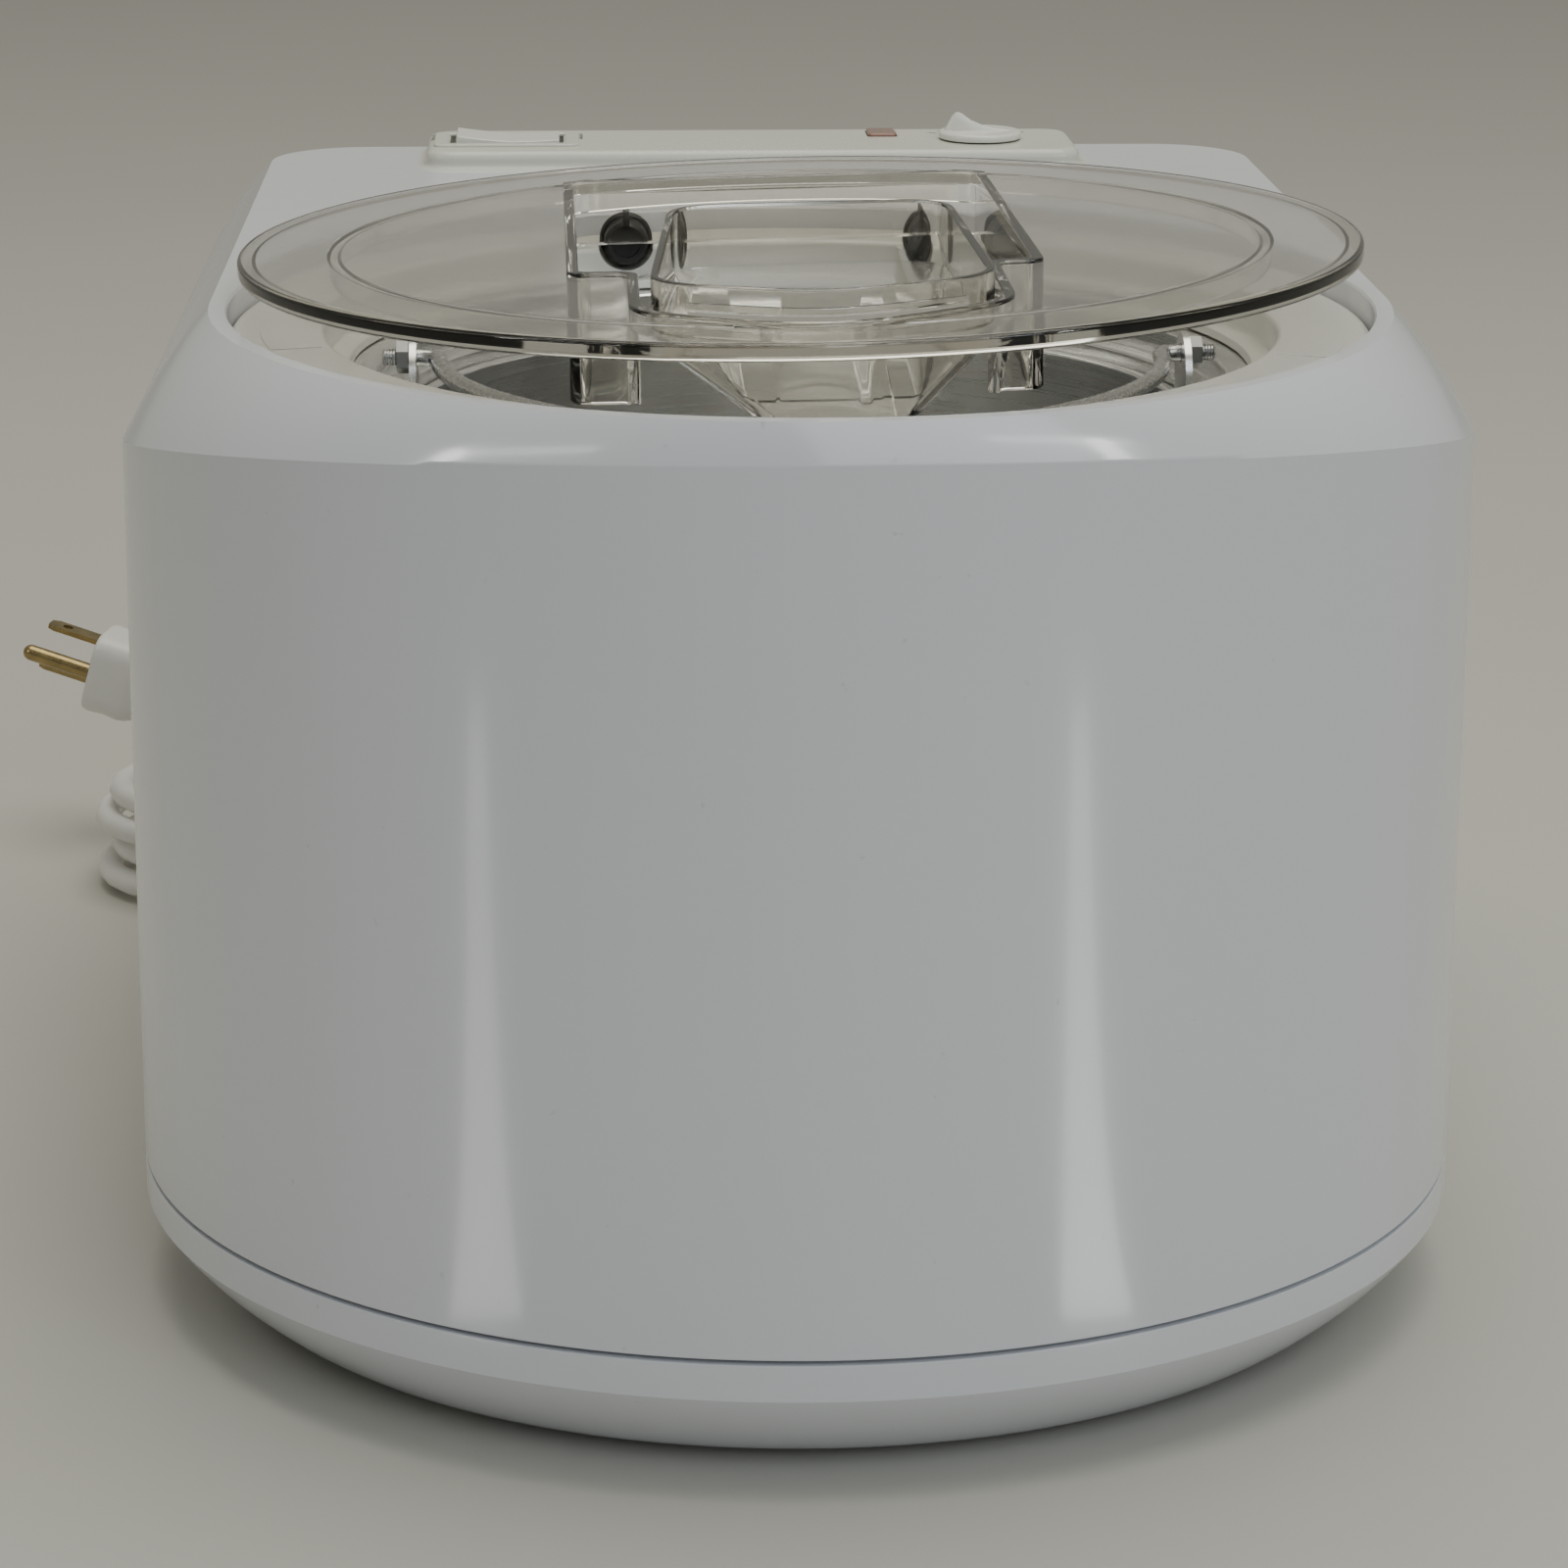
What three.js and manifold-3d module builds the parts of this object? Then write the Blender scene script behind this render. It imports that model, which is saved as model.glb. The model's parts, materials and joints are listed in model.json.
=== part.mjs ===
import * as THREE from 'three';
import { mergeVertices } from 'three/addons/utils/BufferGeometryUtils.js';
import Module from 'manifold-3d';

// Counter-top ice cream maker with its own compressor, in millimetres, +Z up.
// The origin is on the table, under the middle of the body; the front faces -Y.

// Body
const body_width = 300;
const body_depth = 400;
const wall = 3;
const draft = 1.5;
const front_bow = 138;
const rear_corner = 36;
const foot_height = 3;
const tray_taper_height = 19.5;
const tray_band_height = 8;
const tray_inset = 19;
const seam_gap = 1;
const bowl_rim_height = 201;
const deck_above_rim = 23;
const deck_height = bowl_rim_height + deck_above_rim;
const shoulder_drop = 30.5;
const front_rise = 22;
const surround_radius = 124.2;
const deck_border = 4.3;
const deck_half_width = surround_radius + deck_border;
const deck_rear_gap = 40;
const deck_corner = 24;
const front_border = 8.8;
const well_setback = surround_radius + front_border;

// Well and its surround
const surround_sink = 4.8;
const surround_thick = 3;
const ledge_width = 20.5;
const collar_radius = surround_radius - ledge_width;
const collar_wall = 2.5;
const collar_depth = 7.5;
const step_reach = 5.7;
const step_thick = 2;
const lip_width = 6;
const lip_thick = 3;

// Cold well and the bowl that lifts out of it
const well_inset = 16.3;
const well_radius = collar_radius - well_inset;
const well_sheet = 1;
const well_floor = 104;
const flange_reach = 15;
const shelf_above_rim = 2.5;
const shelf_height = bowl_rim_height + shelf_above_rim;
const shelf_reach = 5;
const bowl_gap = 3.2;
const bowl_radius = well_radius - bowl_gap;
const bowl_sheet = 1.2;
const bowl_rim_reach = 2.6;
const bowl_rim_thick = 2.5;
const bowl_fillet = 9;
const bowl_core_radius = 13;
const bowl_core_drop = 29;
const bowl_core_height = bowl_rim_height - bowl_core_drop;
const ear_sheet = 1.5;
const ear_half_width = 9;
const ear_rise = 15;
const ear_top = bowl_rim_height + ear_rise;
const bail_wire = 3.8;
const bail_drop = 4.4;
const bail_height = ear_top - bail_drop;
const bail_inset = 5.2;
const bail_half_width = bowl_radius - bail_inset;
const bail_stretch = 3.5;
const bail_reach = bail_half_width + bail_stretch;
const bail_overhang = 7.3;
const bail_end = bowl_radius + bail_overhang;
const nut_radius = 3.6;
const nut_thick = 2.6;

// Drive
const spindle_radius = 5;
const spindle_drop = 15;
const spindle_top = bowl_rim_height - spindle_drop;
const spindle_flat_height = 14;
const bush_wall = 3.4;
const bush_flange = 3.5;
const drive_pulley_radius = 56;
const motor_pulley_radius = 14;
const pulley_base = 38;
const belt_width = 8;
const belt_thick = 2.5;
const belt_gap = 0.5;
const pulley_flange = 2;
const pulley_flange_reach = 3;
const motor_x = 15;
const motor_rear_gap = 92;
const motor_y = body_depth / 2 - motor_rear_gap;
const motor_radius = 36;
const motor_height = 78;
const motor_shaft_radius = 4;
const bracket_thick = 3;

// Paddle
const hub_wall = 2.6;
const hub_drop = 7;
const hub_top = bowl_rim_height - hub_drop;
const paddle_gap = 4.2;
const paddle_reach = bowl_radius - paddle_gap;
const paddle_post_length = 9;
const paddle_post_thick = 4;
const paddle_arm_height = 11;
const paddle_arm_thick = 7;
const paddle_top_arm_height = 7;
const paddle_sweep = 13;

// Insulation, evaporator and refrigerant parts
const jacket_thick = 27.6;
const jacket_radius = well_radius + jacket_thick;
const jacket_floor = 18;
const coil_turns = 5;
const coil_tube = 6.4;
const coil_steps = 12;
const coil_base = 122;
const coil_top_gap = 16.5;
const coil_pitch = (shelf_height - coil_top_gap - coil_base) / coil_turns;
const post_radius = 6;
const compressor_side_gap = 70;
const compressor_rear_gap = 84;
const compressor_x = compressor_side_gap - body_width / 2;
const compressor_y = body_depth / 2 - compressor_rear_gap;
const compressor_radius = 46;
const compressor_height = 118;
const compressor_base = 12;
const pipe_radius = 3.2;
const condenser_side_gap = 65;
const condenser_x = body_width / 2 - condenser_side_gap;
const condenser_width = 72;
const condenser_base = 34;
const condenser_height = 108;
const condenser_depth = 24;
const condenser_rear_gap = 19.6;
const fin_count = 9;
const fin_thick = 1.2;
const fan_radius = 32;
const fan_hub = 12;
const fan_blade_count = 5;
const fan_depth = 9;
const fan_chord_share = 1.3;
const fan_lean = 0.924;
const shroud_thick = 2.5;
const fan_motor_radius = 17;
const fan_motor_length = 26;
const drier_radius = 9;
const drier_length = 62;

// Lid and funnel
const lid_inset = 2.2;
const lid_radius = surround_radius - lid_inset;
const lid_plate = 3;
const lid_rim_height = 5.8;
const lid_rim_width = 4;
const lid_rise = 12.6;
const lid_height = deck_height + lid_rise;
const lid_setback = 1;
const lid_roll = 0.0203;
const lid_pitch = 0.0268;
const skirt_gap = 1;
const skirt_radius = collar_radius - skirt_gap;
const skirt_wall = 2.4;
const skirt_depth = 2.2;
const window_x = -3;
const window_half_width = 49;
const window_rear = 78;
const window_foot_gap = 9.5;
const window_front = window_foot_gap - bail_reach;
const window_bulge = 24;
const window_wall = 3;
const window_above = 4.5;
const window_below = 20.5;
const window_corner = 7;
const funnel_x = 6;
const funnel_top = 6;
const funnel_band = 9.5;
const funnel_bottom = -24.55;
const funnel_rear_half = 32;
const funnel_front_half = 37;
const funnel_rear = 16;
const funnel_wall = 1.8;
const funnel_corner = 9;
const funnel_foot_half = 21.5;
const funnel_foot_rear = -58;
const funnel_foot_front = -bail_reach;
const funnel_foot_front_half = 16;
const funnel_foot_bulge = 1;
const funnel_bulge_share = 0.62;
const funnel_hook = 1.5;

// Rubber stops at the rear of the well
const stop_x = 37;
const stop_flange_radius = 6.35;
const stop_flange_thick = 2;
const stop_button_radius = 5.25;
const stop_button_length = 8;
const stop_sink = 4;
const stop_height = deck_height - stop_sink;
const stop_tab = 1.4;
const stop_cradle = 2;

// Control panel
const panel_left = -88;
const panel_right = 83;
const panel_length = 40;
const panel_rise = 4.5;
const panel_corner = 8;
const panel_middle = body_depth / 2 - deck_rear_gap - panel_length / 2;
const bezel_length = 38;
const bezel_width = 24;
const bezel_rise = 1.2;
const bezel_x = -67;
const bezel_y = panel_middle;
const rocker_length = 27;
const rocker_width = 16;
const rocker_rise = 4;
const rocker_dip = 1.4;
const rocker_angle = 0.1;
const lamp_x = 32.5;
const lamp_shift = 10;
const lamp_y = panel_middle + lamp_shift;
const lamp_width = 7.5;
const lamp_length = 11;
const lamp_rise = 0.8;
const knob_x = 58;
const knob_y = panel_middle;
const knob_radius = 11;
const knob_base_height = 2;
const knob_fin_height = 5.2;
const knob_fin_thick = 3;
const knob_taper_share = 0.8;
const knob_shaft = 3;

// Feet and screws
const foot_radius = 11;
const foot_stem = 4;
const foot_head = 6;
const foot_side_gap = 58;
const foot_front_gap = 80;
const foot_rear_gap = 40;
const foot_x = body_width / 2 - foot_side_gap;
const foot_front_y = foot_front_gap - body_depth / 2;
const foot_rear_y = body_depth / 2 - foot_rear_gap;
const screw_radius = 3.5;
const screw_shank = 1.8;
const screw_length = 14;

// Mains lead, wound in a hank behind the left rear corner
const cord_diameter = 7.2;
const hank_loops = 4;
const hank_steps = 24;
const hank_sides = 6;
const hank_run = 108;
const hank_outer = 30;
const hank_pitch = 7.9;
const hank_waist = 5;
const hank_x = -160;
const hank_behind = 18;
const hank_turn = 0.49;
const hank_base = 4.9;
const tie_width = 9;
const tie_thick = 0.8;
const tie_shift = 24;
const relief_x = 5;
const relief_z = 43.5;
const relief_length = 30;
const relief_root = 7.5;
const relief_tip = 5.2;
const relief_flange = 11;
// Route points of the cord: X, distance behind the body, height
const lead_route = [
  [5, 30.7, 43.5], [5, 42, 43.1], [4.5, 54, 40.6], [2.5, 66, 35.8], [-2, 77.5, 29.3], [-9, 88, 22],
  [-18.5, 96.6, 14.8], [-30, 102.4, 9], [-42.5, 104.9, 5.6], [-55, 104.2, 4.9], [-67.5, 101, 4.9],
  [-79.4, 96.2, 4.9], [-91.2, 88.7, 4.9], [-104.1, 78.7, 4.9], [-113.9, 71.6, 4.9], [-123.9, 65.65, 4.9],
];
const tail_route = [
  [-124.5, 65.3, 28.6], [-129.3, 62.7, 28.8], [-134.1, 60.2, 29.6], [-138.9, 58.1, 31.3], [-143.7, 56.8, 33.7],
  [-148.3, 56.1, 36.6], [-153.1, 56, 39.3], [-158.1, 56.5, 41.5], [-163.2, 57.6, 43.1],
];
const plug_direction = [-0.941, 0.199, 0.276];
const plug_length = 33;
const plug_half_width = 12.5;
const plug_half_height = 11;
const plug_corner_share = 0.6;
const blade_length = 18;
const blade_width = 6.3;
const blade_thick = 1.5;
const blade_spacing = 12.7;
const earth_pin_radius = 2.4;
const earth_pin_length = 21;
const earth_pin_drop = 11.9;

// Shared allowances
const clearance = 0.3;
const overrun = 1;

const wasm = await Module();
wasm.setup();

const part = new THREE.Group();
const front_y = -body_depth / 2;
const rear_y = body_depth / 2;
const well_y = front_y + well_setback;
const tray_band_base = foot_height + tray_taper_height;
const tray_top = tray_band_base + tray_band_height;
const shell_base = tray_top + seam_gap;
const shoulder = deck_height - shoulder_drop;
const ledge = deck_height - surround_sink;

// Materials

const finish = {
  housing: new THREE.MeshStandardMaterial({ color: 0xe4e6ee, roughness: 0.18, metalness: 0 }),
  ivory: new THREE.MeshStandardMaterial({ color: 0xe9e7dc, roughness: 0.3, metalness: 0 }),
  clear: new THREE.MeshStandardMaterial({
    color: 0xb9b3a4, roughness: 0.06, metalness: 0, transparent: true, opacity: 0.4,
  }),
  bowl_metal: new THREE.MeshStandardMaterial({ color: 0xb8babd, roughness: 0.32, metalness: 1 }),
  steel: new THREE.MeshStandardMaterial({ color: 0x9a9da1, roughness: 0.35, metalness: 1 }),
  copper: new THREE.MeshStandardMaterial({ color: 0xb5703f, roughness: 0.35, metalness: 1 }),
  brass: new THREE.MeshStandardMaterial({ color: 0xb08d4c, roughness: 0.35, metalness: 1 }),
  black: new THREE.MeshStandardMaterial({ color: 0x141414, roughness: 0.55, metalness: 0 }),
  dark_paint: new THREE.MeshStandardMaterial({ color: 0x1d1e20, roughness: 0.4, metalness: 0.2 }),
  foam: new THREE.MeshStandardMaterial({ color: 0xd9cfae, roughness: 0.9, metalness: 0 }),
  amber: new THREE.MeshStandardMaterial({ color: 0x8a4a32, roughness: 0.15, metalness: 0 }),
  paddle: new THREE.MeshStandardMaterial({ color: 0xf0f0ec, roughness: 0.4, metalness: 0 }),
  cord: new THREE.MeshStandardMaterial({ color: 0xe8e8ea, roughness: 0.45, metalness: 0 }),
};

// Solids from geometry

function closed(geometry) {
  const bare = geometry.clone();
  bare.deleteAttribute('normal');
  bare.deleteAttribute('uv');
  const merged = mergeVertices(bare, 1e-4);
  const index = Array.from(merged.index.array);
  const kept = [];
  for (let i = 0; i < index.length; i += 3) {
    const [a, b, c] = index.slice(i, i + 3);
    if (a !== b && b !== c && c !== a) kept.push(a, b, c);
  }
  return { positions: merged.attributes.position.array, triangles: kept };
}

function signed_volume({ positions, triangles }) {
  const corner = (i) => new THREE.Vector3().fromArray(positions, triangles[i] * 3);
  let volume = 0;
  for (let i = 0; i < triangles.length; i += 3) {
    volume += corner(i).dot(corner(i + 1).cross(corner(i + 2)));
  }
  return volume;
}

function solid(geometry) {
  const shape = closed(geometry);
  if (signed_volume(shape) < 0) shape.triangles.reverse();
  return new wasm.Manifold(new wasm.Mesh({
    numProp: 3,
    vertProperties: new Float32Array(shape.positions),
    triVerts: new Uint32Array(shape.triangles),
  }));
}

function surface(shape) {
  const mesh = shape.getMesh();
  const geometry = new THREE.BufferGeometry();
  geometry.setAttribute('position', new THREE.BufferAttribute(new Float32Array(mesh.vertProperties), 3));
  geometry.setIndex(new THREE.BufferAttribute(new Uint32Array(mesh.triVerts), 1));
  geometry.computeVertexNormals();
  return geometry;
}

function add(name, shape, material, parent = part) {
  const mesh = new THREE.Mesh(surface(shape), material);
  mesh.name = name;
  parent.add(mesh);
  return mesh;
}

// A body of revolution about the vertical through (x, y); the profile runs up its outer side.
function revolve(profile, segments, x = 0, y = 0) {
  const points = profile.map(([r, z]) => new THREE.Vector2(r, z));
  const geometry = new THREE.LatheGeometry(points, segments);
  geometry.rotateX(Math.PI / 2);
  geometry.translate(x, y, 0);
  return solid(geometry);
}

function disc(radius, z0, z1, segments, x = 0, y = 0) {
  return revolve([[0, z0], [radius, z0], [radius, z1], [0, z1]], segments, x, y);
}

function tube_ring(inner, outer, z0, z1, segments, x = 0, y = 0) {
  return revolve([[inner, z0], [outer, z0], [outer, z1], [inner, z1], [inner, z0]], segments, x, y);
}

// A rod along X or Y, from its first face to its second.
function rod(axis, radius, from, to, u, z, segments) {
  const geometry = new THREE.CylinderGeometry(radius, radius, to - from, segments);
  const middle = (from + to) / 2;
  if (axis === 'x') {
    geometry.rotateZ(Math.PI / 2);
    geometry.translate(middle, u, z);
  } else {
    geometry.translate(u, middle, z);
  }
  return solid(geometry);
}

function block(x0, x1, y0, y1, z0, z1) {
  const geometry = new THREE.BoxGeometry(x1 - x0, y1 - y0, z1 - z0);
  geometry.translate((x0 + x1) / 2, (y0 + y1) / 2, (z0 + z1) / 2);
  return solid(geometry);
}

function prism(outline, z0, z1) {
  const shape = new THREE.Shape(outline.map(([x, y]) => new THREE.Vector2(x, y)));
  const geometry = new THREE.ExtrudeGeometry(shape, { depth: z1 - z0, bevelEnabled: false });
  geometry.translate(0, 0, z0);
  return solid(geometry);
}

// A closed body through rings of equally many points, each end closed by a fan.
function loft(rings) {
  const count = rings[0].length;
  const positions = rings.flat(2);
  const triangles = [];
  for (let k = 0; k + 1 < rings.length; k += 1) {
    for (let i = 0; i < count; i += 1) {
      const next = (i + 1) % count;
      const [a, b, c, d] = [k * count + i, k * count + next, (k + 1) * count + next, (k + 1) * count + i];
      triangles.push(a, b, c, a, c, d);
    }
  }
  [rings[0], rings[rings.length - 1]].forEach((ring, end) => {
    const centre = positions.length / 3;
    for (let k = 0; k < 3; k += 1) {
      positions.push(ring.reduce((sum, point) => sum + point[k], 0) / count);
    }
    const base = end * (rings.length - 1) * count;
    for (let i = 0; i < count; i += 1) {
      const next = (i + 1) % count;
      triangles.push(...(end ? [base + i, base + next, centre] : [base + next, base + i, centre]));
    }
  });
  const geometry = new THREE.BufferGeometry();
  geometry.setAttribute('position', new THREE.BufferAttribute(new Float32Array(positions), 3));
  geometry.setIndex(triangles);
  return solid(geometry);
}

// A straight-sided tube along a curve, closed at both ends.
function pipe(points, radius, sides, steps) {
  const path = new THREE.CatmullRomCurve3(points.map((p) => new THREE.Vector3(...p)), false, 'centripetal');
  const section = new THREE.Shape(ring_points(radius, sides).map(([x, y]) => new THREE.Vector2(x, y)));
  return solid(new THREE.ExtrudeGeometry(section, { steps, extrudePath: path, bevelEnabled: false }));
}

function ring_points(radius, sides, x = 0, y = 0) {
  return Array.from({ length: sides }, (_, i) => {
    const angle = (2 * Math.PI * i) / sides;
    return [x + radius * Math.cos(angle), y + radius * Math.sin(angle)];
  });
}

// A polygon whose corners are rounded, each given as [x, y, rounding].
function rounded(corners, steps = 4) {
  const at = (i) => new THREE.Vector2(...corners[(i + corners.length) % corners.length].slice(0, 2));
  return corners.flatMap(([x, y, rounding], i) => {
    const corner = new THREE.Vector2(x, y);
    const before = at(i - 1).sub(corner).setLength(rounding).add(corner);
    const after = at(i + 1).sub(corner).setLength(rounding).add(corner);
    return new THREE.QuadraticBezierCurve(before, corner, after).getPoints(steps).map((p) => [p.x, p.y]);
  });
}

function plate(x0, x1, y0, y1, rounding) {
  return rounded([[x0, y0, rounding], [x1, y0, rounding], [x1, y1, rounding], [x0, y1, rounding]]);
}

// Plan of the body: an elliptical front, straight sides and rounded rear corners.

const bow_steps = 24;
const corner_steps = 4;

function plan({ half, front, bow, rear, corner }) {
  const points = [];
  for (let i = 0; i <= bow_steps; i += 1) {
    const angle = Math.PI * (1 + i / bow_steps);
    points.push([half * Math.cos(angle), front + bow + bow * Math.sin(angle)]);
  }
  [[1, 0], [-1, Math.PI / 2]].forEach(([side, start]) => {
    for (let i = 0; i <= corner_steps; i += 1) {
      const angle = start + (Math.PI / 2) * (i / corner_steps);
      points.push([side * (half - corner) + corner * Math.cos(angle), rear - corner + corner * Math.sin(angle)]);
    }
  });
  return points;
}

function body_plan(inset) {
  return plan({
    half: body_width / 2 - inset, front: front_y + inset, bow: front_bow - inset,
    rear: rear_y - inset, corner: rear_corner - inset,
  });
}

function deck_plan(inset) {
  return plan({
    half: deck_half_width - inset, front: well_y - deck_half_width + inset, bow: deck_half_width - inset,
    rear: rear_y - deck_rear_gap - inset, corner: deck_corner - inset,
  });
}

// The wall top is level along the sides and rises round the front.
function wall_top(i) {
  const share = i <= bow_steps ? Math.sin(Math.PI * (i / bow_steps)) : 0;
  return shoulder + front_rise * share;
}

const shoulder_in_share = 0.3;
const shoulder_up_share = 0.8;

function shoulder_ring(inset, turn) {
  const low = body_plan(draft + inset);
  const high = deck_plan(inset);
  return low.map(([x, y], i) => {
    const z = wall_top(i);
    const top = deck_height - inset;
    const control = [
      x + (high[i][0] - x) * shoulder_in_share,
      y + (high[i][1] - y) * shoulder_in_share,
      z + (top - z) * shoulder_up_share,
    ];
    const end = [high[i][0], high[i][1], top];
    return [x, y, z].map((start, k) => (
      (1 - turn) ** 2 * start + 2 * turn * (1 - turn) * control[k] + turn ** 2 * end[k]
    ));
  });
}

function shell_body(inset, base) {
  const turn_shares = [0, 0.2, 0.4, 0.6, 0.8, 1];
  const foot = body_plan(inset).map(([x, y]) => [x, y, base]);
  return loft([foot, ...turn_shares.map((turn) => shoulder_ring(inset, turn))]);
}

// Housing shell with its recess, well opening, vents and holes

const recess_floor = ledge - surround_thick - clearance;
const well_opening = surround_radius - lip_width;
const lip_outer = surround_radius + clearance + wall;

function slots(axis, count, pitch, u0, z0, z1, near, far) {
  const slot_width = pitch / 2;
  return Array.from({ length: count }, (_, i) => {
    const u = u0 + i * pitch;
    return axis === 'y'
      ? block(u, u + slot_width, near, far, z0, z1)
      : block(near, far, u, u + slot_width, z0, z1);
  });
}

const vent_pitch = 8;
const vent_base = 58;
const vent_top = 118;
const vent_count = 9;
const side_vent_count = 7;
const side_vent_rear_gap = 116;
const side_vent_y = rear_y - side_vent_rear_gap;

const condenser_left = condenser_x - condenser_width / 2;

let housing = shell_body(0, shell_base).subtract(shell_body(wall, shell_base - overrun));
housing = housing.add(tube_ring(
  well_opening, lip_outer, recess_floor - lip_thick, deck_height - wall + overrun, 52, 0, well_y,
));
housing = housing.subtract(disc(well_opening, shoulder, deck_height + overrun, 52, 0, well_y));
housing = housing.subtract(
  disc(surround_radius + clearance, recess_floor, deck_height + overrun, 52, 0, well_y),
);
slots('y', vent_count, vent_pitch, condenser_left, vent_base, vent_top, rear_y - 2 * wall, rear_y + overrun)
  .forEach((slot) => { housing = housing.subtract(slot); });
[-1, 1].forEach((side) => {
  const [near, far] = side > 0
    ? [body_width / 2 - 2 * wall, body_width / 2 + overrun]
    : [-body_width / 2 - overrun, -body_width / 2 + 2 * wall];
  slots('x', side_vent_count, vent_pitch, side_vent_y, vent_base, vent_top, near, far)
    .forEach((slot) => { housing = housing.subtract(slot); });
});
const relief_hole = relief_root + clearance;
housing = housing.subtract(
  rod('y', relief_hole, rear_y - 2 * wall - draft, rear_y + overrun, relief_x, relief_z, 16),
);

// Openings in the deck under the controls
const panel_front = rear_y - deck_rear_gap - panel_length;
const panel_rear = rear_y - deck_rear_gap;
const rocker_well = 9;
const switch_half_length = rocker_length / 2 + rocker_dip;
const switch_half_width = rocker_width / 2 + rocker_dip;
const timer_hole = knob_shaft + 2 * clearance;

function through_deck(shape_maker) {
  return shape_maker(deck_height - wall - overrun, deck_height + panel_rise + overrun);
}

const switch_cut = through_deck((z0, z1) => block(
  bezel_x - switch_half_length, bezel_x + switch_half_length,
  bezel_y - switch_half_width, bezel_y + switch_half_width, z0, z1,
));
const timer_cut = through_deck((z0, z1) => disc(timer_hole, z0, z1, 16, knob_x, knob_y));
const lamp_cut = through_deck((z0, z1) => block(
  lamp_x - lamp_width / 2 + overrun - clearance, lamp_x + lamp_width / 2 - overrun + clearance,
  lamp_y - lamp_length / 2 + overrun - clearance, lamp_y + lamp_length / 2 - overrun + clearance, z0, z1,
));
housing = housing.subtract(switch_cut).subtract(timer_cut).subtract(lamp_cut);
add('housing_shell', housing, finish.housing);

// Base tray: a tapering skirt under a straight band, with posts for the cold well

function tray_ring(inset, taper, z) {
  return body_plan(inset + taper * tray_inset).map(([x, y]) => [x, y, z]);
}

const tray_bulge_share = 0.42;
const tray_middle = foot_height + tray_taper_height / 2;
const post_offset = (jacket_radius - 2 * post_radius) / Math.SQRT2;
const jacket_base = well_floor - jacket_floor - well_sheet;
let tray = loft([
  tray_ring(0, 1, foot_height), tray_ring(0, tray_bulge_share, tray_middle),
  tray_ring(0, 0, tray_band_base), tray_ring(0, 0, tray_top),
]);
tray = tray.subtract(loft([
  tray_ring(wall, 1, foot_height + wall), tray_ring(wall, tray_bulge_share, tray_middle + wall),
  tray_ring(wall, 0, tray_band_base + wall), tray_ring(wall, 0, tray_top + overrun),
]));
const post_places = [[-1, -1], [1, -1], [1, 1], [-1, 1]].map(([sx, sy]) => (
  [sx * post_offset, well_y + sy * post_offset]
));
post_places.forEach(([x, y]) => {
  tray = tray.add(disc(post_radius, foot_height + wall / 2, jacket_base - clearance, 8, x, y));
});
const tray_floor = foot_height + wall;
const foot_places = [
  ['front_left', -foot_x, foot_front_y], ['front_right', foot_x, foot_front_y],
  ['rear_left', -foot_x, foot_rear_y], ['rear_right', foot_x, foot_rear_y],
];
foot_places.forEach(([, x, y]) => {
  tray = tray.subtract(disc(foot_stem + clearance, foot_height - overrun, tray_floor + overrun, 12, x, y));
});

// Rubber feet are pushed through the tray floor and held by their heads.
foot_places.forEach(([name, x, y]) => {
  const top = foot_height - clearance;
  const head = tray_floor + clearance;
  add(`foot_${name}`, revolve([
    [0, 0], [foot_radius - overrun, 0], [foot_radius, overrun], [foot_radius, top],
    [foot_stem, top], [foot_stem, head], [foot_head, head], [foot_stem, head + foot_stem], [0, head + foot_stem],
  ], 12, x, y), finish.black);
});

// Four screws join the tray to bosses inside the shell band.
const boss_radius = 2 * screw_radius;
const screw_inset = wall + boss_radius + overrun;
const screw_places = [
  ['front_left', -(body_width / 2 - tray_inset - screw_inset), front_y + front_bow],
  ['front_right', body_width / 2 - tray_inset - screw_inset, front_y + front_bow],
  ['rear_left', -(body_width / 2 - rear_corner - screw_inset), rear_y - tray_inset - screw_inset],
  ['rear_right', body_width / 2 - rear_corner - screw_inset, rear_y - tray_inset - screw_inset],
];
screw_places.forEach(([name, x, y]) => {
  tray = tray.add(disc(boss_radius, foot_height, tray_top - wall, 8, x, y));
  tray = tray.subtract(disc(screw_radius + clearance, foot_height - overrun, foot_height + wall, 8, x, y));
  tray = tray.subtract(disc(screw_shank + clearance, foot_height, foot_height + wall + screw_length, 8, x, y));
  const head_top = foot_height + wall - clearance;
  add(`base_screw_${name}`, revolve([
    [0, head_top - screw_shank], [screw_radius, head_top - screw_shank], [screw_radius, head_top],
    [screw_shank, head_top], [screw_shank, head_top + screw_length - overrun], [0, head_top + screw_length],
  ], 8, x, y), finish.steel);
});
add('base_tray', tray, finish.housing);

// Well surround: ledge, collar and a light step, with cradles for the stops

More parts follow.
